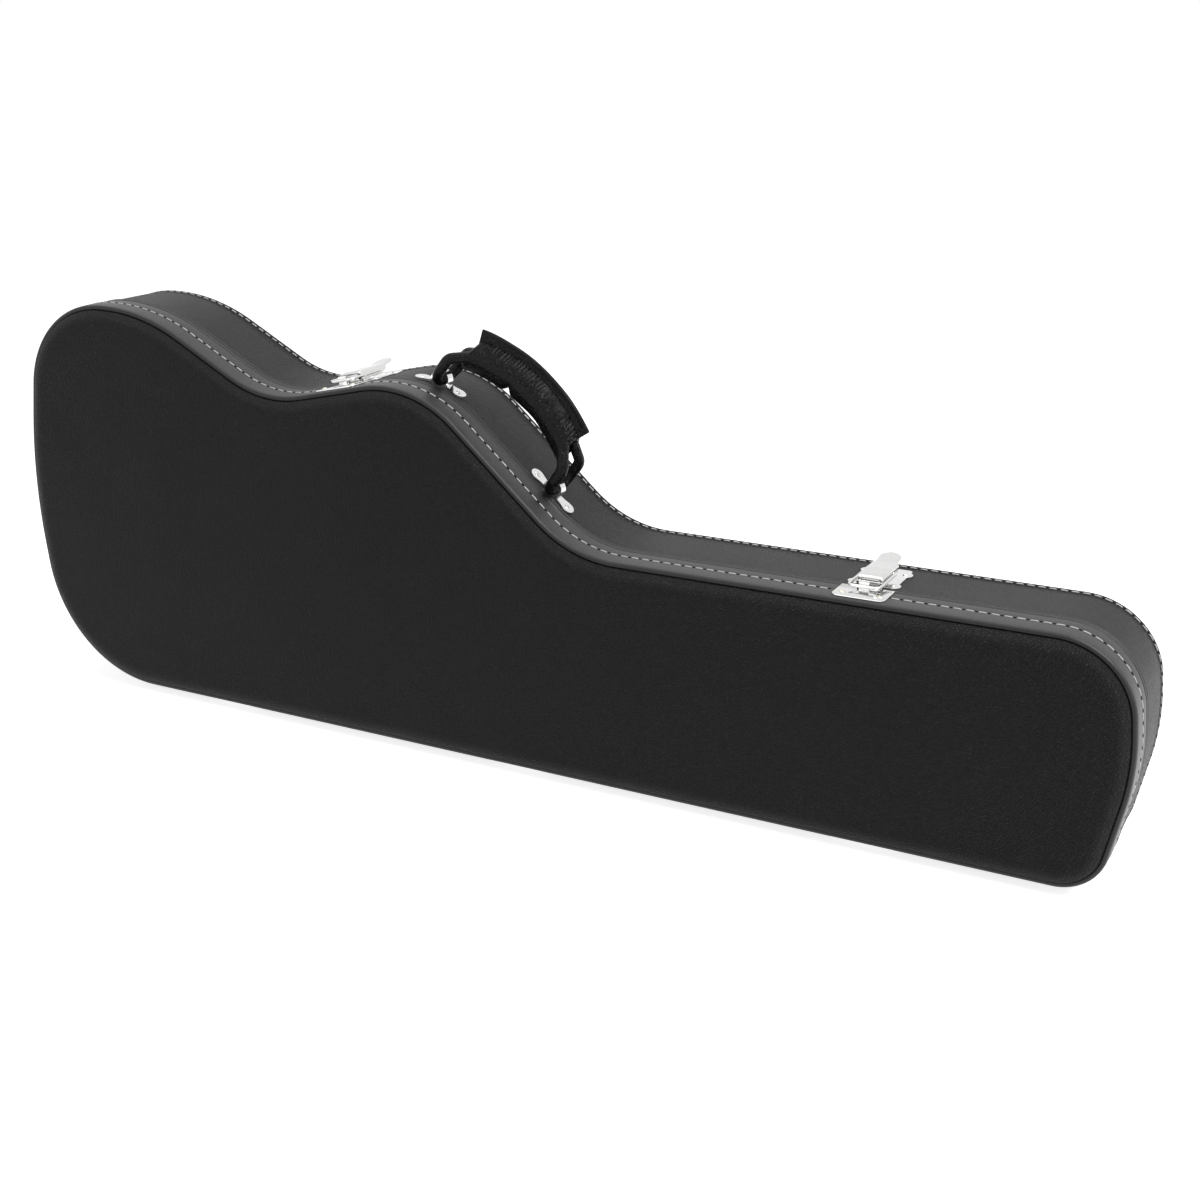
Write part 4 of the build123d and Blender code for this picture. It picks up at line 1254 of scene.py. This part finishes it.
def sleeve_piece(name):
    """Leather sleeve: full below with a notch, drawn together into wrinkles at the fin."""
    handle = look("case_handle")
    pitch, depth = handle.wrinkle_pitch / MM, handle.wrinkle_depth / MM
    count = 56
    rings = []
    steps = 150
    for step in range(steps + 1):
        along = -GRIP_HALF + 2 * GRIP_HALF * step / steps
        rise = rise_at(along, GRIP_HALF + 0.5, GRIP_END_RISE, GRIP_MID_RISE)
        end = min(1.0, (GRIP_HALF - abs(along)) / 3.0)
        girth = GRIP_R * (0.86 + 0.14 * math.sqrt(max(0.0, 1 - (1 - end) ** 2)))
        lobes = 4.6 - 1.4 * bell(along, 20, 14)
        notch = 6.0 * bell(along, NOTCH_AT, 3.2)
        ring = []
        for index in range(count):
            lean = 2 * math.pi * index / count
            side, up = math.sin(lean), -math.cos(lean)
            under = max(0.0, -up)
            over = max(0.0, up)
            width = girth * side * (1 - 0.55 * over**1.5)
            height = girth * up * (1.04 if up > 0 else 0.97)
            push = (lobes - notch) * under**1.5
            drift = 2.4 * noise.noise(Vector((along * 0.09, lean, 3)))
            fold = math.sin(2 * math.pi * along / pitch + drift)
            ripple = noise.noise(Vector((along * 0.55, lean * 2.2, 7)))
            weight = 0.25 + 0.75 * over**0.7 if up > -0.35 else 0.12
            swell = depth * weight * (fold * 0.8 + ripple * 1.3)
            crease = 0.8 * bell(along, -4, 1.6) * over * (0.6 + 0.4 * side)
            reach = 1 + (swell - crease) / girth
            ring.append(handle_point(along, width * reach, rise + height * reach - push))
        rings.append(ring)
    first = [spot.lerp(centre_of(rings[0]), 0.28) for spot in rings[0]]
    last = [spot.lerp(centre_of(rings[-1]), 0.28) for spot in rings[-1]]
    shift = (rings[3][0] - rings[0][0]) * 0.6
    first = [spot + shift for spot in first]
    shift = (rings[-4][0] - rings[-1][0]) * 0.6
    last = [spot + shift for spot in last]
    return loft(name, [first, *rings, last], degrees=60)


def centre_of(ring):
    """The middle of a ring of points."""
    return sum(ring, Vector()) / len(ring)


def fin_piece(name):
    """Sewn fin along the top of the sleeve, with a rolled edge and flared ends."""
    section = [(-1.55, 0.0), (-1.5, 0.45), (-1.35, 0.72), (-1.75, 0.8), (-2.0, 0.88), (-1.6, 0.97),
               (-0.6, 1.0), (0.6, 1.0), (1.6, 0.97), (2.0, 0.88), (1.75, 0.8), (1.35, 0.72),
               (1.5, 0.45), (1.55, 0.0)]
    rings = []
    steps = 96
    for step in range(steps + 1):
        along = -FIN_HALF + 2 * FIN_HALF * step / steps
        top = rise_at(along, FIN_HALF, FIN_END_RISE, FIN_MID_RISE)
        foot = rise_at(along * 0.93, GRIP_HALF, GRIP_END_RISE, GRIP_MID_RISE) + 8.5
        lean = 0.9 * noise.noise(Vector((along * 0.045, 5, 2)))
        end = max(0.0, abs(along) - FIN_HALF + 1.5) / 1.5
        ring = []
        for depth, share in section:
            slant = (1 - share) * 5.0 * (1 if along > 0 else -1) * (abs(along) / FIN_HALF) ** 8
            wide = depth * (1 - 0.45 * end) + lean * share
            ring.append(handle_point(along - slant, wide, foot + (top - foot) * share))
        rings.append(ring)
    return loft(name, rings, degrees=50)


def loop_piece(name, side):
    """Leather-wrapped loop with a seam: a half ring under the staple and two strands to the grip."""
    end_x = side * (GRIP_HALF - 4)
    leg_x = side * LOOP_AT
    points = [handle_point(*spot) for spot in
              ((end_x, LOOP_R * 0.55, GRIP_END_RISE + 1), (leg_x, LOOP_R, 12), (leg_x, LOOP_R, -LOOP_R),
               (leg_x, -LOOP_R, -LOOP_R), (leg_x, -LOOP_R, 12),
               (end_x, -LOOP_R * 0.55, GRIP_END_RISE + 1))]
    path = rounded_path(points, [r * MM for r in (9, LOOP_R - 0.05, LOOP_R - 0.05, 9)], 1.2 * MM)

    def wrapped(lean):
        seam = math.exp(-((math.remainder(lean - math.pi / 2, 2 * math.pi) / 0.16) ** 2))
        return 1.0 + 0.05 * math.cos(2 * lean) - 0.16 * seam

    return tube(name, path, TUBE_R * MM, 28, shape=wrapped)


def screw_piece(name, seat):
    """A domed screw head with a cross recess."""
    def cross(lean, radius):
        return 1.0 + (0.28 * math.cos(4 * lean) if radius < 1.9 else 0.0)

    profile = [(3.4, 0.0), (3.4, 0.55), (3.15, 1.15), (2.6, 1.6), (2.0, 1.85), (1.5, 1.95), (1.35, 1.9),
               (1.1, 1.2), (0.35, 1.0)]
    return lathe(name, seat, profile, 32, cross)


class CASE_OT_handle(Operator):
    """Makes the carrying handle: sleeve, sewn fin and the two loops"""

    bl_idname = "case.handle"
    bl_label = "Make the handle"

    def execute(self, context):
        hide = FINISH["leather"]
        sleeve = sleeve_piece("handle_sleeve")
        dress(sleeve, "handle", hide, ["handle_grip"])
        fin = fin_piece("handle_sewn_fin")
        dress(fin, "handle", hide, ["handle_fin"])
        for name, side in (("left", -1), ("right", 1)):
            loop = loop_piece(f"handle_strand_{name}", side)
            dress(loop, "handle", hide, [f"handle_loop_{name}"])
        return {"FINISHED"}


def foot_rise(x, touch_x, curve_r):
    """Height of the line that touches the curved wall at touch_x, read at x."""
    if curve_r is None:
        return 0.0
    lean = math.asin(touch_x / curve_r)
    return curve_r * (math.cos(lean) - 1) - math.tan(lean) * (x - touch_x)


def strap_piece(name, wall, top, curve_r):
    """Chrome strap: round feet under the screws, a narrow arch over the loop."""
    shoulder = top - STAPLE_HALF
    half = []
    for along in (24.6, 24.3, 23.5, 22.2, 20.4, 18.4, 15.5, 12.8, 10.5, 8.6):
        half.append((along, STAPLE_SEAT_H + foot_rise(along, STAPLE_SCREW_AT, curve_r) + 1.5))
    half += [(7.6, half[-1][1] + 0.25), (7.2, half[-1][1] + 1.2), (7.2, shoulder - 1.0)]
    for lean in range(0, 90, 12):
        half.append((STAPLE_HALF * math.cos(math.radians(lean)),
                     shoulder + STAPLE_HALF * math.sin(math.radians(lean))))
    path = [(-along, height) for along, height in half] + [(0.0, top)]
    path += [(along, height) for along, height in reversed(half)]
    rows = []
    for along, height in path:
        foot = abs(along) - STAPLE_SCREW_AT
        if foot > 0:
            wide = 6.2 * math.sqrt(max(0.0, 1 - (foot / 6.2) ** 2)) + 0.3
        else:
            wide = 4.2 + 2.3 * bell(foot, 0.0, 5.0)
        wide *= 1.0 if height < shoulder else 0.9
        rows.append([wall.at(along, HANDLE_Y + wide * side, height)
                     for side in (-1, -0.92, -0.5, 0, 0.5, 0.92, 1)])
    return sheet(name, rows, 1.4 * MM)


class CASE_OT_staples(Operator):
    """Makes the chrome staples that hold the handle's loops, and their screws"""

    bl_idname = "case.staples"
    bl_label = "Make the staples"

    def execute(self, context):
        for name in ("left", "right"):
            strap = strap_piece(f"staple_strap_{name}", *STAPLES[name])
            dress(strap, "root", FINISH["chrome"], [f"handle_staple_{name}"])
            heads = []
            for seat in screw_seats(f"handle_screws_{name}"):
                heads.append(screw_piece("screw", seat))
            row = joined(f"staple_screws_{name}", heads)
            dress(row, "root", FINISH["chrome"], [f"handle_screws_{name}"])
        return {"FINISHED"}


def screw_seats(node):
    """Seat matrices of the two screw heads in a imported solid, lower one first."""
    points = [vert.co.copy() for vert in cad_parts[node].data.vertices]
    low = min(points, key=lambda spot: spot.x)
    high = max(points, key=lambda spot: spot.x)
    seats = []
    for end in (low, high):
        near = [spot for spot in points if (spot - end).length < 9 * MM]
        middle = (Vector(map(min, *near)) + Vector(map(max, *near))) / 2
        spot = Vector((middle.x / MM, middle.z / MM - FOOT_HEIGHT))
        out = nearest_spot(spot)[1]
        up = Vector((out.x, 0, out.y))
        way = Vector((out.y, 0, -out.x))
        base = min(near, key=lambda found: (found - middle).dot(up))
        height = (base - middle).dot(up)
        turn = Matrix((way, Vector((0, 1, 0)), up)).transposed().to_4x4()
        seats.append(Matrix.Translation(middle + up * height) @ turn)
    return seats


def nearest_spot(place):
    """The spot on the outline nearest to a place, with its outward direction."""
    found = min(ROUND, key=lambda spot: (spot[0] - place.x) ** 2 + (spot[1] - place.y) ** 2)
    return Vector(found[:2]), Vector(found[2:4])


def soft_copy(node, name, radius, sag=0.0):
    """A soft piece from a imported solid: rounded edges, and faces that swell or dip a little."""
    piece = copy_of_node(node, name)
    round_edges(piece, radius * MM, 4, 60)
    edit_whole(piece, (bpy.ops.mesh.quads_convert_to_tris, {}),
               (bpy.ops.mesh.normals_make_consistent, {"inside": False}))
    if sag:
        swell(piece, sag)
    smooth(piece, 60)
    return piece


def swell(piece, amount):
    """Moves each point of a pad along its normal by slow noise, as foam under cloth does."""
    for vert in piece.data.vertices:
        drift = noise.noise(vert.co * 45.0)
        vert.co = vert.co + vert.normal * (amount * MM * (drift - 0.5))


class CASE_OT_padding(Operator):
    """Lines the case: plush on floors and sides, accessory well, neck rest and end pads"""

    bl_idname = "case.padding"
    bl_label = "Line the case"

    def execute(self, context):
        fill = look("case_padding").pad_fill
        pads = (
            ("body_side_lining", "body_side_plush", "root", 1.2, 0.0),
            ("body_floor_lining", "body_floor_plush", "root", 1.2, 0.0),
            ("lid_side_lining", "lid_side_plush", "lid", 1.2, 0.0),
            ("lid_floor_lining", "lid_floor_plush", "lid", 1.2, 0.0),
            ("neck_rest", "neck_rest_pad", "root", 4.0, 0.5),
            ("head_pad", "head_end_pad", "root", 4.0, 0.5),
            ("butt_pad", "butt_end_pad", "root", 4.0, 0.5),
            ("well_wall_body_side", "well_wall_plush_body_side", "root", 2.5, 0.3),
            ("well_wall_neck_side", "well_wall_plush_neck_side", "root", 2.5, 0.3),
        )
        for node, name, body, radius, sag in pads:
            pad = soft_copy(node, name, radius, sag)
            dress(pad, body, FINISH["plush"], [node])
        return {"FINISHED"}


class CASE_OT_fittings(Operator):
    """Finishes the solids that stay on show: hinges, feet, boards and the rim's lip"""

    bl_idname = "case.fittings"
    bl_label = "Finish the fittings"

    def execute(self, context):
        for node, name, body in (("hinge_body_leaves", "hinge_leaves_body", "root"),
                                 ("hinge_lid_leaves", "hinge_leaves_lid", "lid")):
            leaves = copy_of_node(node, name)
            round_edges(leaves, 0.0002, 2)
            dress(leaves, body, FINISH["steel"], [node])
        repaint(["hinge_body_rivets", "hinge_lid_rivets", "hinge_pins"], FINISH["steel"])
        repaint(["body_feet", "lid_feet"], FINISH["rubber"])
        repaint(["back_board", "lid_board"], FINISH["plywood"])
        repaint(["rim_lip"], FINISH["plush"])
        return {"FINISHED"}


def soft_light(name, location, size, watts):
    """A square soft light turned to the middle of the case."""
    aim = Vector((0, 0, 0.2)) - Vector(location)
    turn = aim.to_track_quat("-Z", "Y").to_euler()
    bpy.ops.object.light_add(type="AREA", location=location, rotation=turn)
    lamp = bpy.context.object
    lamp.name = name
    lamp.data.shape = "SQUARE"
    lamp.data.size = size
    lamp.data.energy = watts


def seen_white(tree, plain, strength):
    """A shader for a plain surface that camera, mirror and glass rays see nearly white."""
    path = tree.add("ShaderNodeLightPath")
    rays = tree.math("MAXIMUM", path.outputs["Is Camera Ray"], path.outputs["Is Glossy Ray"])
    rays = tree.math("MAXIMUM", rays, path.outputs["Is Transmission Ray"])
    return tree.math("MULTIPLY_ADD", rays, strength, plain)


class CASE_OT_stage(Operator):
    """Sets the stage: pale floor, white surround, soft lights and the camera"""

    bl_idname = "case.stage"
    bl_label = "Set the stage"

    def execute(self, context):
        scene = context.scene
        stage = look("case_stage")
        bpy.ops.object.select_all(action="DESELECT")
        bpy.ops.mesh.primitive_plane_add(size=40, location=(0, 0, -0.0005))
        floor = context.object
        floor.name = "pale_floor"
        material = bpy.data.materials.new("Pale floor")
        material.use_nodes = True
        tree = Nodes(material.node_tree)
        tree.tree.nodes.clear()
        place = tree.add("ShaderNodeTexCoord").outputs["Object"]
        speck = tree.add("ShaderNodeTexNoise", {"Vector": place, "Scale": 300.0})
        share = tree.spread(speck.outputs["Fac"], 0, 1, 0.99, 1.01)
        colour = tree.tint(opaque(stage.floor_colour), share)
        matt = tree.add("ShaderNodeBsdfDiffuse", {"Color": colour})
        glow = tree.add("ShaderNodeEmission", {"Color": (1, 1, 1, 1)})
        tree.feed(glow.inputs["Strength"], seen_white(tree, 0.0, 0.78))
        both = tree.add("ShaderNodeAddShader", {0: matt.outputs[0], 1: glow.outputs[0]})
        tree.add("ShaderNodeOutputMaterial", {"Surface": both.outputs[0]})
        floor.data.materials.append(material)

        world = bpy.data.worlds.new("White surround")
        world.use_nodes = True
        scene.world = world
        tree = Nodes(world.node_tree)
        tree.tree.nodes.clear()
        glow = tree.add("ShaderNodeBackground", {"Color": (1, 1, 1, 1)})
        tree.feed(glow.inputs["Strength"], seen_white(tree, 0.30, 0.70))
        tree.add("ShaderNodeOutputWorld", {"Surface": glow.outputs[0]})

        soft_light("key_light", (1.7, -0.5, 2.3), 1.6, stage.key_watts)
        soft_light("top_light", (-0.2, 0.5, 2.6), 2.2, stage.top_watts)
        soft_light("fill_light", (-1.2, -2.4, 1.2), 1.8, stage.fill_watts)

        turn = (math.radians(70.852), 0.0, math.radians(27.433))
        bpy.ops.object.camera_add(location=(0.67325, -1.16988, 0.60953), rotation=turn)
        camera = context.object
        camera.name = "photo_camera"
        camera.data.lens = 49.96
        camera.data.sensor_width = 36.0
        scene.camera = camera
        scene.view_settings.view_transform = "Standard"
        return {"FINISHED"}


class CASE_PT_panel(Panel):
    """Settings and steps of the guitar case"""

    bl_idname = "CASE_PT_panel"
    bl_label = "Guitar case"
    bl_space_type = "VIEW_3D"
    bl_region_type = "UI"
    bl_category = "Guitar case"

    def draw(self, context):
        layout = self.layout
        for name in SETTINGS:
            group = getattr(context.scene, name)
            box = layout.box()
            for label in group.__annotations__:
                box.prop(group, label)
        for step in STEPS:
            layout.operator(step.bl_idname)


SETTINGS = {
    "case_cover": CoverLook,
    "case_metal": MetalLook,
    "case_handle": HandleLook,
    "case_padding": PaddingLook,
    "case_stage": StageLook,
}
STEPS = (
    CASE_OT_body_cover,
    CASE_OT_lid_cover,
    CASE_OT_latches,
    CASE_OT_handle,
    CASE_OT_staples,
    CASE_OT_padding,
    CASE_OT_fittings,
    CASE_OT_stage,
)
CLASSES = (*SETTINGS.values(), *STEPS, CASE_PT_panel)


def register():
    for one in CLASSES:
        bpy.utils.register_class(one)
    for name, group in SETTINGS.items():
        setattr(bpy.types.Scene, name, PointerProperty(type=group))


def unregister():
    for name in SETTINGS:
        delattr(bpy.types.Scene, name)
    for one in reversed(CLASSES):
        bpy.utils.unregister_class(one)


def main():
    register()
    mix_finishes()
    for step in STEPS:
        getattr(bpy.ops.case, step.bl_idname.split(".")[1])()


if __name__ == "__main__":
    main()
